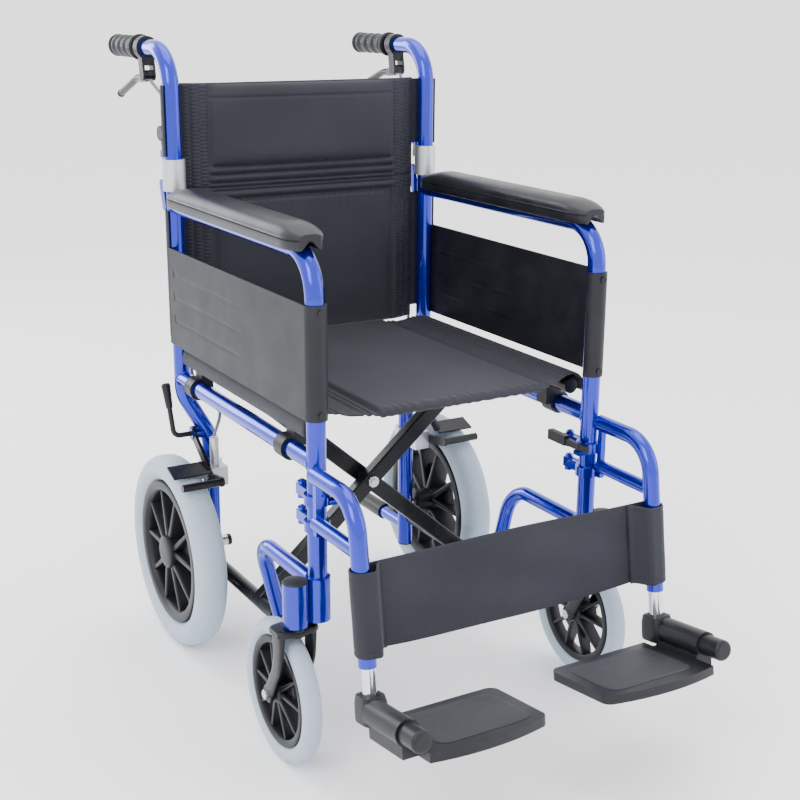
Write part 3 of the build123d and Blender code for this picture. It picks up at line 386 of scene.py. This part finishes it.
for side, mark in ((-1, "r"), (1, "l")):
    tyre = tyre_outline(13.4, 87.5, 12.5)
    build(f"caster_tyre_skin_{mark}", [turned(tyre, side, CASTER_X, CASTER_Y, CASTER_Z, 128)], caster_rubber,
          f"caster_wheel_{mark}", [f"caster_tyre_{mark}"])
    flange = [(-9, 77), (-10.6, 76), (-11, 74), (-10.4, 68.5), (-9, 66.5), (-4, 65), (4, 65), (9, 66.5),
              (10.4, 68.5), (11, 74), (10.6, 76), (9, 77)]
    hub = [(-15.4, 4.3), (-15.4, 9), (-14, 13), (-11, 15.5), (11, 15.5), (14, 13), (15.4, 9), (15.4, 4.3)]
    build(f"caster_wheel_moulding_{mark}", [turned(flange, side, CASTER_X, CASTER_Y, CASTER_Z, 96),
          turned(hub, side, CASTER_X, CASTER_Y, CASTER_Z, 48),
          *spokes(side, CASTER_X, CASTER_Y, CASTER_Z, 5, 0.012, 0.066, (13, 17), (0.0075, 0.0045),
                  (0.022, 0.017))],
          wheel_nylon, f"caster_wheel_{mark}", [f"caster_rim_{mark}"])
    x = side * CASTER_X
    crown = np.linspace((x - 0.0295, FRONT + 0.006, 0.2065), (x + 0.0295, FRONT + 0.006, 0.2065), 12)
    fork = [bar(crown, (0, 1, 0), 0.032 + 0.008 * np.sin(np.linspace(0, np.pi, 12)), 0.0105, 5, 40, 0.004),
            stood([(0, 0.2), (13, 0.2), (14.5, 0.2115), (12, 0.2136), (0, 0.2136)], x, FRONT)]
    for arm in (-1, 1):
        path = softened([(x + arm * 0.0225, FRONT + 0.004, 0.211), (x + arm * 0.0232, FRONT + 0.004, 0.188),
                         (x + arm * 0.0232, FRONT + 0.006, 0.158), (x + arm * 0.0215, FRONT + 0.026, 0.126),
                         (x + arm * 0.0205, CASTER_Y + 0.006, 0.092)], 4)
        along = share_of(path)
        arm_width = np.interp(along, (0, 0.25, 0.6, 0.9, 1), (0.030, 0.026, 0.019, 0.021, 0.014))
        arm_depth = np.interp(along, (0, 0.2, 1), (0.011, 0.008, 0.0065))
        fork.append(bar(path, (0, 1, 0.2), arm_width, arm_depth, 3.2, 28, 0.002))
        boss = [(-3.6, 0), (-3.6, 11), (-2.4, 12.4), (2.4, 12.4), (3.6, 11), (3.6, 0)]
        fork.append(turned(boss, arm, arm * x + 0.0205, CASTER_Y, CASTER_Z, 40))
    build(f"caster_fork_casting_{mark}", fork, fork_paint, f"caster_fork_{mark}",
          [f"caster_fork_{mark}"])
    bolt = [(-29.5, 0), (-29.5, 4.5), (-28, 6.8), (-24.4, 6.8), (-24.4, 4.0), (24.4, 4.0), (24.4, 6.8),
            (28, 6.8), (29.5, 4.5), (29.5, 0)]
    build(f"caster_bolt_{mark}", [turned(bolt, side, CASTER_X, CASTER_Y, CASTER_Z, 24)], plated,
          f"caster_fork_{mark}")
    lid = [(0, 0.2715), (16.6, 0.2715), (17.0, 0.2745), (15.6, 0.2765), (9, 0.2781), (0, 0.2785)]
    build(f"housing_cap_{mark}", [stood(lid, x, FRONT)], cap_rubber,
          "root_frame" if mark == "r" else "left_side")


# ---------------------------------------------------------------- armrest pads
# Self-skinned foam moulded in two halves: a crowned top over a straight base, with the parting
# groove between them, fixed to the arm tube from below.
POST_X = 0.217
pad_skin = black_plastic("self_skinned_foam", "#16171b", "#202127", 0.36, 1.6, 0.0003)
for side, mark in ((-1, "r"), (1, "l")):
    low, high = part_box(f"arm_pad_{mark}")
    y = np.concatenate([low.y + 0.06 * (1 - np.cos(np.linspace(0, np.pi / 2, 26))),
                        np.linspace(low.y + 0.068, high.y - 0.068, 24),
                        high.y - 0.06 * (1 - np.cos(np.linspace(np.pi / 2, 0, 26)))])
    front, rear = (y - low.y) / 0.05, (high.y - y) / 0.05
    width = 0.0275 - 0.0115 * np.clip(1 - front * 1.5, 0, 1) ** 2.2 - 0.007 * np.clip(1 - rear * 2, 0, 1) ** 2
    top = (high.z + 0.001 - 0.011 * np.clip(1 - front, 0, 1) ** 1.7
           - 0.013 * np.clip(1 - rear * 0.9, 0, 1) ** 1.6)
    seam = low.z + 0.0125
    rise = np.linspace(0, np.pi / 2, 14)
    tube_bed = [(0.0, 0.0112), (0.006, 0.0097), (0.0108, 0.005), (0.0128, 0.0)]
    inner = [(width * 0 + a, width * 0 + low.z + b) for a, b in tube_bed]
    wall = [(width - 0.0015, width * 0 + low.z), (width, width * 0 + low.z + 0.0015),
            (width, width * 0 + seam - 0.0012), (width - 0.0014, width * 0 + seam - 0.0004),
            (width - 0.0014, width * 0 + seam + 0.0004), (width + 0.0002, width * 0 + seam + 0.0012)]
    crown = [(width * math.cos(a) ** 0.72, seam + 0.0014 + (top - seam - 0.0014) * math.sin(a) ** 0.9)
             for a in rise]
    half = np.array([(a, b) for a, b in inner + wall + crown])           # columns, x or z, y
    both = np.concatenate([half, half[::-1][1:-1] * np.array([-1, 1])[None, :, None]])
    grid = np.stack([side * POST_X + both[:, 0].T, np.broadcast_to(y[:, None], (len(y), len(both))),
                     both[:, 1].T], -1)
    middle = grid.mean(1, keepdims=True)
    ends = [middle[:1] + 0 * grid[:1], middle[:1] + 0.8 * (grid[:1] - middle[:1]) - [0, 0.0008, 0]]
    tail = [middle[-1:] + 0.8 * (grid[-1:] - middle[-1:]) + [0, 0.0008, 0], middle[-1:] + 0 * grid[-1:]]
    pad = build(f"armrest_{mark}", [quads(np.concatenate([*ends, grid, *tail]), False, True)], pad_skin,
                "root_frame" if mark == "r" else "left_side", [f"arm_pad_{mark}"], 50)


# ---------------------------------------------------------------- side guards
# Sheet plastic, vacuum formed: three shallow grooves with hooked ends, wrapped round both
# posts and held at the front by two screws.
guard_sheet = black_plastic("textured_guard_sheet", "#15161b", "#1e1f26", 0.5, 0.9, 0.00025)


def shell(front, rear):
    """A closed skin from two grids a wall apart, drawn together at all four edges."""
    loop = np.concatenate([front, rear[:, ::-1]], axis=1)
    middle = (front + rear) / 2
    fold = np.concatenate([middle, middle[:, ::-1]], axis=1)
    return quads(np.concatenate([fold[:1], loop, fold[-1:]]), False, True)


def normals(grid):
    """The direction square to a grid at each point, from its rows and columns."""
    square = np.cross(np.gradient(grid, axis=0), np.gradient(grid, axis=1))
    return square / np.linalg.norm(square, axis=-1, keepdims=True)


for side, mark in ((-1, "r"), (1, "l")):
    low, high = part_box(f"skirt_panel_{mark}")
    reach = 0.01425
    front = np.radians(np.linspace(180, 360, 40))
    rear = np.radians(np.linspace(0, 90, 20))
    plan = np.concatenate([
        np.stack([POST_X + reach * np.cos(front), FRONT + reach * np.sin(front)], 1),
        np.stack([np.full(230, POST_X + reach), np.linspace(FRONT + 0.002, REAR - 0.002, 230)], 1),
        np.stack([POST_X + reach * np.cos(rear), REAR + reach * np.sin(rear)], 1)])
    z = np.linspace(low.z + 0.0002, high.z - 0.0002, 84)
    px, py = plan[:, :1], plan[:, 1:]
    start, end = REAR - 0.022, REAR - 0.250
    groove = 0
    for groove_z in (0.595, 0.5605, 0.526):
        length = (1 / (1 + np.exp((py - start) / 0.0015))) * (1 / (1 + np.exp((end - py) / 0.012)))
        groove = groove + np.exp(-((z - groove_z) / 0.0021) ** 2) * length
        hook = np.exp(-((py - start) / 0.0021) ** 2) / (1 + np.exp((groove_z - z) / 0.001)) / (
            1 + np.exp((z - groove_z - 0.011) / 0.001))
        groove = groove + hook
    grid = np.stack([side * (px + 0 * z), py + 0 * z, z + 0 * px], -1)
    square = normals(grid) * side
    sink = 0.0012 * np.clip(groove, 0, 1)[..., None]
    build(f"side_guard_{mark}", [shell(grid + square * (0.0011 - sink), grid - square * (0.0011 + sink))],
          guard_sheet, "root_frame" if mark == "r" else "left_side",
          [f"skirt_panel_{mark}"], 60)


# ---------------------------------------------------------------- small black fittings
# Injection-moulded saddles, plugs and caps, and black-painted folding bars and levers.
moulded = black_plastic("moulded_polyamide", "#131418", "#1c1d22", 0.4, 1.2, 0.0004)
dress(moulded, "frame_fittings", "lever_mount", "hanger_latch", "back_lock_lever", "park_lever",
      "footplate_bracket", "footplate")
dress(fork_paint, "cross_bar_a", "cross_bar_b", "park_shoe", "brake_shoe", "brake_lever")
dress(plated, "cross_bolt", "rear_axle")


# ---------------------------------------------------------------- bright metal and cables
# Cast aluminium fold collars and brake calipers, chromed leg tubes and grey-sheathed cables.
cast, t = tree_of("cast_aluminium")
place = add(t, "ShaderNodeTexCoord").outputs["Object"]
grain = add(t, "ShaderNodeTexNoise", Vector=place, Scale=700.0, Detail=4.0)
dull = add(t, "ShaderNodeMapRange", Value=grain.outputs["Fac"], From_Min=0.3, From_Max=0.7,
           To_Min=0.30, To_Max=0.46)
pores = add(t, "ShaderNodeBump", Height=grain.outputs["Fac"], Strength=0.25, Distance=0.0002)
close(cast, add(t, "ShaderNodeBsdfPrincipled", Base_Color=linear("#c4c7cd"), Metallic=0.85,
                Roughness=dull.outputs[0], Normal=pores.outputs[0]))
dress(cast, "hinge_sleeve", "brake_block")

chrome, t = tree_of("chrome_plate")
place = add(t, "ShaderNodeTexCoord").outputs["Object"]
haze = add(t, "ShaderNodeTexNoise", Vector=place, Scale=60.0, Detail=5.0)
polish = add(t, "ShaderNodeMapRange", Value=haze.outputs["Fac"], From_Min=0.3, From_Max=0.7,
             To_Min=0.05, To_Max=0.14)
close(chrome, add(t, "ShaderNodeBsdfPrincipled", Base_Color=linear("#d9dbe0"), Metallic=1.0,
                  Roughness=polish.outputs[0]))
dress(chrome, "leg_tube")
cable_vinyl = black_plastic("grey_vinyl_sheath", "#6b6e76", "#7d8088", 0.38, 2.0, 0.0002)
dress(cable_vinyl, "brake_cable")


# ---------------------------------------------------------------- handle grips
# Black vinyl grips slipped over the push posts: a flange, four finger swells and a domed end.
grip_vinyl = black_plastic("black_vinyl_grip", "#141519", "#1f2026", 0.36, 1.5, 0.0003)


def threaded(outline, x, z, segments=48):
    """A closed outline of (place along Y, radius in mm) turned round an axis along Y."""
    y, radius = np.array(outline, float).T
    angle = np.linspace(0, 2 * np.pi, segments, endpoint=False)[:, None]
    grid = np.stack([x + radius / 1000 * np.cos(angle), np.broadcast_to(y, (segments, len(y))),
                     z + radius / 1000 * np.sin(angle)], -1)
    return quads(grid, True, True)


for side, mark in ((-1, "r"), (1, "l")):
    low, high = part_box(f"grip_{mark}")
    y = np.linspace(low.y + 0.007, high.y - 0.010, 70)
    swell = 15.4 + 1.5 * np.sin((y - low.y - 0.007) / 0.0235 * 2 * np.pi - 1.2)
    outline = [(low.y, 13.0), (low.y, 18.4), (low.y + 0.001, 19.4), (low.y + 0.005, 19.4),
               (low.y + 0.0062, 18.2), *zip(y, swell), (high.y - 0.006, 17.2), (high.y - 0.002, 15.0),
               (high.y - 0.0003, 9.0), (high.y, 0.0),
               (high.y - 0.005, 0.0), (high.y - 0.005, 13.0)]
    middle = (low + high) / 2
    build(f"handle_grip_{mark}", [threaded(outline, middle.x, middle.z)], grip_vinyl, f"push_post_{mark}",
          [f"grip_{mark}"], 50)


# ---------------------------------------------------------------- nylon upholstery
# Coated nylon cloth sewn in flat ribs and gathered with elastic at both sides; the seat, back
# and head pad hold foam. The cloth runs behind the posts and round them.
nylon, t = tree_of("coated_nylon_cloth")
place = add(t, "ShaderNodeTexCoord").outputs["Object"]
cloud = add(t, "ShaderNodeTexNoise", Vector=place, Scale=7.0, Detail=5.0)
colour = add(t, "ShaderNodeValToRGB", Fac=cloud.outputs["Fac"])
colour.color_ramp.elements[0].position, colour.color_ramp.elements[1].position = 0.3, 0.7
colour.color_ramp.elements[0].color = linear("#1d1e26")
colour.color_ramp.elements[1].color = linear("#272831")
# threads 0.9 mm apart in both directions
warp = add(t, "ShaderNodeTexWave", {"bands_direction": "X"}, Vector=place, Scale=350.0, Distortion=0.4)
weft = add(t, "ShaderNodeTexWave", {"bands_direction": "Z"}, Vector=place, Scale=350.0, Distortion=0.4)
across_seat = add(t, "ShaderNodeTexWave", {"bands_direction": "Y"}, Vector=place, Scale=350.0,
                  Distortion=0.4)
weave = add(t, "ShaderNodeMath", {"operation": "ADD"}, i0=warp.outputs["Fac"], i1=weft.outputs["Fac"])
weave = add(t, "ShaderNodeMath", {"operation": "ADD"}, i0=weave.outputs[0], i1=across_seat.outputs["Fac"])
crumple = add(t, "ShaderNodeTexNoise", Vector=place, Scale=38.0, Detail=6.0)
relief = add(t, "ShaderNodeMath", {"operation": "MULTIPLY_ADD"}, i0=crumple.outputs["Fac"], i1=6.0,
             i2=weave.outputs[0])
bump = add(t, "ShaderNodeBump", Height=relief.outputs[0], Strength=0.35, Distance=0.0003)
close(nylon, add(t, "ShaderNodeBsdfPrincipled", Base_Color=colour.outputs["Color"], Roughness=0.66,
                 Normal=bump.outputs[0], Specular_IOR_Level=0.3, Sheen_Weight=0.08, Sheen_Roughness=0.4))


def hung(plan, z, outward, inward):
    """Cloth hung along a plan path: its two faces stand off the path by the given depths."""
    run = np.gradient(plan, axis=0)
    run /= np.linalg.norm(run, axis=1, keepdims=True)
    square = np.stack([run[:, 1], -run[:, 0]], -1)
    wide = np.broadcast_to(plan, (len(z), len(plan), 2))
    rise = np.broadcast_to(z[:, None, None], (len(z), len(plan), 1))
    front = np.concatenate([wide + square * outward[..., None], rise], -1)
    rear = np.concatenate([wide - square * inward[..., None], rise], -1)
    return shell(front, rear)


def step(value, low, high):
    """A smooth rise from 0 to 1 as a value goes from low to high."""
    share = np.clip((value - low) / (high - low), 0, 1)
    return share * share * (3 - 2 * share)


def smocking(x, z, inner, outer):
    """Three gathered columns between two distances from the centre, puckered every 5.5 mm."""
    share = np.clip((np.abs(x) - inner) / (outer - inner), 0, 1)
    column = np.abs(np.sin(3 * np.pi * share)) ** 0.6
    pucker = 0.5 + 0.5 * np.cos(2 * np.pi * z / 0.0055 + np.pi * np.floor(3 * share))
    return 0.0026 * column * (0.45 + 0.55 * pucker)


def cross_ribs(x, z):
    """Four ribs across the back at the height where it folds, 12 mm apart, finely puckered."""
    inside = 1 - step(np.abs(x), 0.155, 0.162)
    band = step(z, 0.700, 0.703) * (1 - step(z, 0.749, 0.752))
    ridge = np.abs(np.sin(np.pi * (0.751 - z) / 0.0122)) ** 0.65
    pucker = 1 + 0.16 * np.sin(2 * np.pi * x / 0.0068 + 2 * np.sin(x * 90) + 900 * z)
    return 0.0062 * band * ridge * pucker * inside


low_u, high_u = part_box("back_upper")
low_d, high_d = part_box("back_lower")
seam_z = (low_u.z + high_d.z) / 2
x = np.concatenate([np.linspace(-0.199, -0.160, 34), np.linspace(-0.1575, 0.1575, 142),
                    np.linspace(0.160, 0.199, 34)])
centre = np.stack([x, REAR + 0.004 + 0.0105 * step(np.abs(x), 0.158, 0.199)], -1)
flap = {}
for side in (-1, 1):
    angle = np.radians(np.linspace(90, -22, 20))
    bow = np.stack([side * (POST_X + 0.0148 * np.cos(angle)), REAR + 0.0148 * np.sin(angle)], -1)
    line = np.stack([side * np.linspace(0.196, POST_X - 0.001, 9), np.full(9, REAR + 0.0148)], -1)
    flap[side] = np.concatenate([line, bow])[::side]


def back_cloth(name, body, node, low, high, relief, flap_low, flap_high):
    """One back panel: its centre with relief, and a plain flap round each post."""
    z = np.linspace(low, high, int((high - low) / 0.00135))
    wide, tall = np.meshgrid(x, z)
    front = 0.0012 + relief(wide, tall) + smocking(wide, tall, 0.160, 0.197)
    rim = np.minimum(step(tall, low, low + 0.004), 1 - step(tall, high - 0.004, high))
    parts = [hung(centre, z, front * (0.3 + 0.7 * rim), 0.0025 * rim + 0 * wide)]
    z = np.linspace(flap_low, flap_high, int((flap_high - flap_low) / 0.004))
    for side in (-1, 1):
        wave = 0.0004 * np.sin(np.arange(len(flap[side])) * 1.9)[None] * np.ones((len(z), 1))
        parts.append(hung(flap[side], z, 0.0009 + wave, 0.0007 - wave))
    piece = build(name, parts, nylon, body, [node], 70)
    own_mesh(piece)
    return piece


def head_relief(x, z):
    """The plump head pad, its top band, and the upper two ribs."""
    pad = (np.clip(1 - np.abs(x / 0.1565) ** 9, 0, 1) ** 0.5
           * np.clip(1 - np.abs((z - 0.812) / 0.060) ** 7, 0, 1) ** 0.5)
    band = -0.0016 * np.exp(-((z - 0.852) / 0.0022) ** 2) * (np.abs(x) < 0.156)
    return 0.0125 * pad * (1 - 0.15 * (x / 0.16) ** 2) + band + cross_ribs(x, z)


def lumbar_relief(x, z):
    """The lower panel, gathered into the rib above it, and the lower two ribs."""
    pad = np.clip(1 - np.abs(x / 0.1515) ** 14, 0, 1) ** 0.5 * (1 - step(z, 0.694, 0.701))
    gather = np.exp(-((0.700 - np.minimum(z, 0.7)) / 0.016) ** 2) * (1 - step(z, 0.697, 0.702))
    return (0.0062 * pad + 0.0011 * gather * np.sin(2 * np.pi * x / 0.0085 + 2 * np.sin(70 * x))
            + cross_ribs(x, z))


back_cloth("head_cushion", "push_post_r", "back_upper", seam_z, high_u.z - 0.002, head_relief,
           0.770, high_u.z - 0.004)
back_cloth("lumbar_panel", "root_frame", "back_lower", low_d.z + 0.002, seam_z, lumbar_relief, 0.500, 0.690)

# The seat: two halves meeting at the centre, each with its sleeve round one rail.
RAIL_X, RAIL_Z = 0.203, 0.4673
for side, mark in ((-1, "r"), (1, "l")):
    low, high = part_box(f"seat_half_{mark}")
    flat_x = np.concatenate([np.linspace(0, 0.126, 58), np.linspace(0.1275, 0.203, 52)])
    angle = np.radians(np.linspace(86, -25, 22))
    pad = 1 - step(flat_x, 0.124, 0.131)
    ribs = sum(h * np.exp(-((flat_x - at) / 0.0026) ** 2) for at, h in
               ((0.1375, 0.0030), (0.1455, 0.0026), (0.176, 0.0012), (0.184, 0.0016), (0.192, 0.0016)))
    top_z = 0.4838 + 0.0062 * pad + ribs + 0.0042 * step(flat_x, 0.145, 0.200)
    under_z = 0.4775 * pad + (top_z - 0.0035) * (1 - pad)
    over = np.stack([np.concatenate([flat_x, RAIL_X + 0.0207 * np.cos(angle)]),
                     np.concatenate([top_z, RAIL_Z + 0.0207 * np.sin(angle)])], -1)
    below = np.stack([np.concatenate([flat_x, RAIL_X + 0.0172 * np.cos(angle)]),
                      np.concatenate([under_z, RAIL_Z + 0.0172 * np.sin(angle)])], -1)
    start = low.y - 0.0015 + 0.033 * np.clip((over[:, 0] - 0.129) / 0.068, 0, 1)
    share = np.concatenate([0.06 * np.linspace(0, 1, 18) ** 1.6, np.linspace(0.065, 0.985, 110),
                            [0.99, 0.994, 0.998, 1]])
    y = start + share[:, None] * (high.y - 0.001 - start)
    front_roll = np.sqrt(np.clip(1 - np.clip(1 - (y - start) / 0.0075, 0, 1) ** 2, 0, 1))
    rear_roll = np.sqrt(np.clip(1 - np.clip(1 - (high.y - 0.001 - y) / 0.005, 0, 1) ** 2, 0, 1))
    mid = (over + below) / 2
    pucker = 0.0009 * np.sin(2 * np.pi * over[:, 0] / 0.0165 + 2.4 * np.sin(over[:, 0] * 61)) * np.exp(
        -((y - start) / 0.013) ** 2) * (over[:, 0] < 0.2)
    crown = 0.0016 * np.cos(np.pi * over[:, 0] / 0.26) * np.sin(np.pi * share[:, None]) * (over[:, 0] < 0.13)
    half = (over - mid)[None] * (front_roll * rear_roll)[..., None]
    top = np.stack([side * (mid[:, 0] + half[..., 0]), y, mid[:, 1] + half[..., 1] + pucker + crown], -1)
    bottom = np.stack([side * (mid[:, 0] - half[..., 0]), y, mid[:, 1] - half[..., 1] + 0.6 * pucker], -1)
    seat = build(f"seat_cloth_{mark}", [shell(top, bottom)], nylon, f"seat_{mark}",
                 [f"seat_half_{mark}", "seat_middle"], 70)

# The calf strap: a plain band with a sewn sleeve round each leg rest.
low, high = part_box("calf_strap")
z = np.concatenate([[low.z], np.linspace(low.z + 0.0015, high.z - 0.0015, 60), [high.z]])
LEG_X, LEG_Y, LEG_Z, LEAN = 0.226, FRONT - 0.150, 0.216, math.radians(8.37)
angle = np.radians(np.linspace(90, -90, 22))
outer = np.stack([LEG_X + 0.0139 * np.cos(angle), 0.0139 * np.sin(angle)], -1)
back_leg = np.stack([np.linspace(0.192, LEG_X - 0.002, 14),
                     -0.0107 + 0.0246 * step(np.linspace(0.192, LEG_X - 0.002, 14), 0.195, 0.214)], -1)
front_x = np.linspace(LEG_X - 0.002, -LEG_X + 0.002, 150)
front_run = np.stack([front_x, -0.0139 - 0.007 * (1 - (front_x / LEG_X) ** 2) ** 2], -1)
plan = np.concatenate([back_leg, outer, front_run, (outer * [-1, 1])[::-1],
                       (back_leg * [-1, 1])[::-1]]) * [1, -1]
wide = np.broadcast_to(plan[:, 0], (len(z), len(plan)))
tall = np.broadcast_to(z[:, None], (len(z), len(plan)))
seams = sum(np.exp(-((np.abs(wide) - at) / 0.0011) ** 2) for at in (0.1885, 0.1945, 0.2065))
hems = np.exp(-((tall - low.z - 0.007) / 0.0011) ** 2) + np.exp(-((high.z - 0.007 - tall) / 0.0011) ** 2)
edge = np.where((tall < low.z + 0.001) | (tall > high.z - 0.001), 0.35, 1.0)
drape = 0.0012 * np.sin(tall * 95 + wide * 23) * (1 - (wide / LEG_X) ** 2)
outward = (0.00135 - 0.0006 * np.clip(seams + hems, 0, 1)) * edge + drape
points, faces = hung(plan, z, outward, 0.0011 * edge - drape)
bowed = 1 - np.clip(np.abs(points[:, 0]) / LEG_X, 0, 1) ** 2
points = points.copy()
points[:, 2] -= 0.010 * bowed * (high.z - points[:, 2]) / (high.z - low.z) + 0.001 * bowed
points[:, 1] += LEG_Y + math.tan(LEAN) * (points[:, 2] - LEG_Z)
strap = build("calf_strap_cloth", [(points, faces)], nylon, "hanger_l", ["calf_strap"], 70)
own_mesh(strap)


# ---------------------------------------------------------------- footplates
# Glass-filled nylon plates with a dotted rubber-like inset, each hung from a moulded block
# clamped to the foot of its chromed tube.
dotted, t = tree_of("dotted_tread_pad")
place = add(t, "ShaderNodeTexCoord").outputs["Object"]
dots = add(t, "ShaderNodeTexVoronoi", Vector=place, Scale=430.0, Randomness=0.0)     # 2.3 mm apart
dust = add(t, "ShaderNodeTexNoise", Vector=place, Scale=30.0, Detail=5.0)
colour = add(t, "ShaderNodeValToRGB", Fac=dust.outputs["Fac"])
colour.color_ramp.elements[0].color = linear("#17181c")
colour.color_ramp.elements[1].color = linear("#2a2b31")
bump = add(t, "ShaderNodeBump", {"invert": True}, Height=dots.outputs["Distance"], Strength=0.8,
           Distance=0.0006)
close(dotted, add(t, "ShaderNodeBsdfPrincipled", Base_Color=colour.outputs["Color"], Roughness=0.55,
                  Normal=bump.outputs[0]))


def on_leg(side, points):
    """Points measured from the foot of a hanger tube, across, back and up along its lean."""
    x, y, z = np.moveaxis(np.array(points, float), -1, 0)
    return np.stack([side * LEG_X + x, LEG_Y + y * math.cos(LEAN) + z * math.sin(LEAN),
                     LEG_Z - y * math.sin(LEAN) + z * math.cos(LEAN)], -1)


for side, mark in ((-1, "r"), (1, "l")):
    angle = np.linspace(0, 2 * np.pi, 96, endpoint=False)[:, None]
    ring = np.array([(0, 0.0009), (0.3, 0.0009), (0.6, 0.0009), (0.9, 0.0009), (0.985, 0.0009), (1, 0.0004),
                     (1, -0.0004), (0, -0.0004)])
    square_x = np.sign(np.cos(angle)) * np.abs(np.cos(angle)) ** 0.28
    square_y = np.sign(np.sin(angle)) * np.abs(np.sin(angle)) ** 0.28
    grid = on_leg(side, np.stack([-side * 0.098 + 0.068 * square_x * ring[:, 0],
                                  -0.060 + 0.051 * square_y * ring[:, 0],
                                  -0.072 + ring[:, 1] + 0 * angle], -1))
    build(f"tread_pad_{mark}", [quads(grid, True, True)], dotted, f"footplate_{mark}")
    block = on_leg(side, [(0, 0, -0.034), (0, 0, -0.036), (0, -0.001, -0.045), (0, -0.002, -0.056),
                          (0, -0.002, -0.066), (0, -0.002, -0.070)])
    build(f"hanger_block_{mark}", [bar(block, (1, 0, 0), [0.029, 0.031, 0.034, 0.035, 0.035, 0.034],
          [0.029, 0.031, 0.036, 0.038, 0.038, 0.036], 4.5, 40, 0.001)], moulded, f"leg_{mark}")


# ---------------------------------------------------------------- weld beads
# Fillets where the rails and the lower loop meet the posts, painted over with the frame.
def bead(x, y, z, post, rail, facing, width=0.0019):
    """A closed bead on the curve where a rail along Y enters an upright post."""
    turn = np.linspace(0, 2 * np.pi, 72, endpoint=False)[:, None]
    section = np.linspace(0, 2 * np.pi, 10, endpoint=False)[None]
    ripple = width * (1 + 0.14 * np.sin(turn * 26))
    radius = rail + ripple * np.cos(section) * 0.8
    depth = np.sqrt(post ** 2 - np.minimum(np.abs(rail * np.cos(turn)), post) ** 2)
    grid = np.stack([x + radius * np.cos(turn), y + facing * (depth + ripple * np.sin(section)),
                     z + radius * np.sin(turn)], -1)
    return quads(grid, True, True)


for side, mark in ((-1, "r"), (1, "l")):
    x = side * POST_X
    build(f"weld_beads_{mark}", [bead(x, FRONT, 0.430, 0.0127, 0.0125, 1),
                                 bead(x, REAR, 0.430, 0.0127, 0.0125, -1),
                                 bead(x, FRONT, 0.262, 0.0127, 0.011, 1)], candy,
          "root_frame" if mark == "r" else "left_side")

bpy.context.view_layer.update()
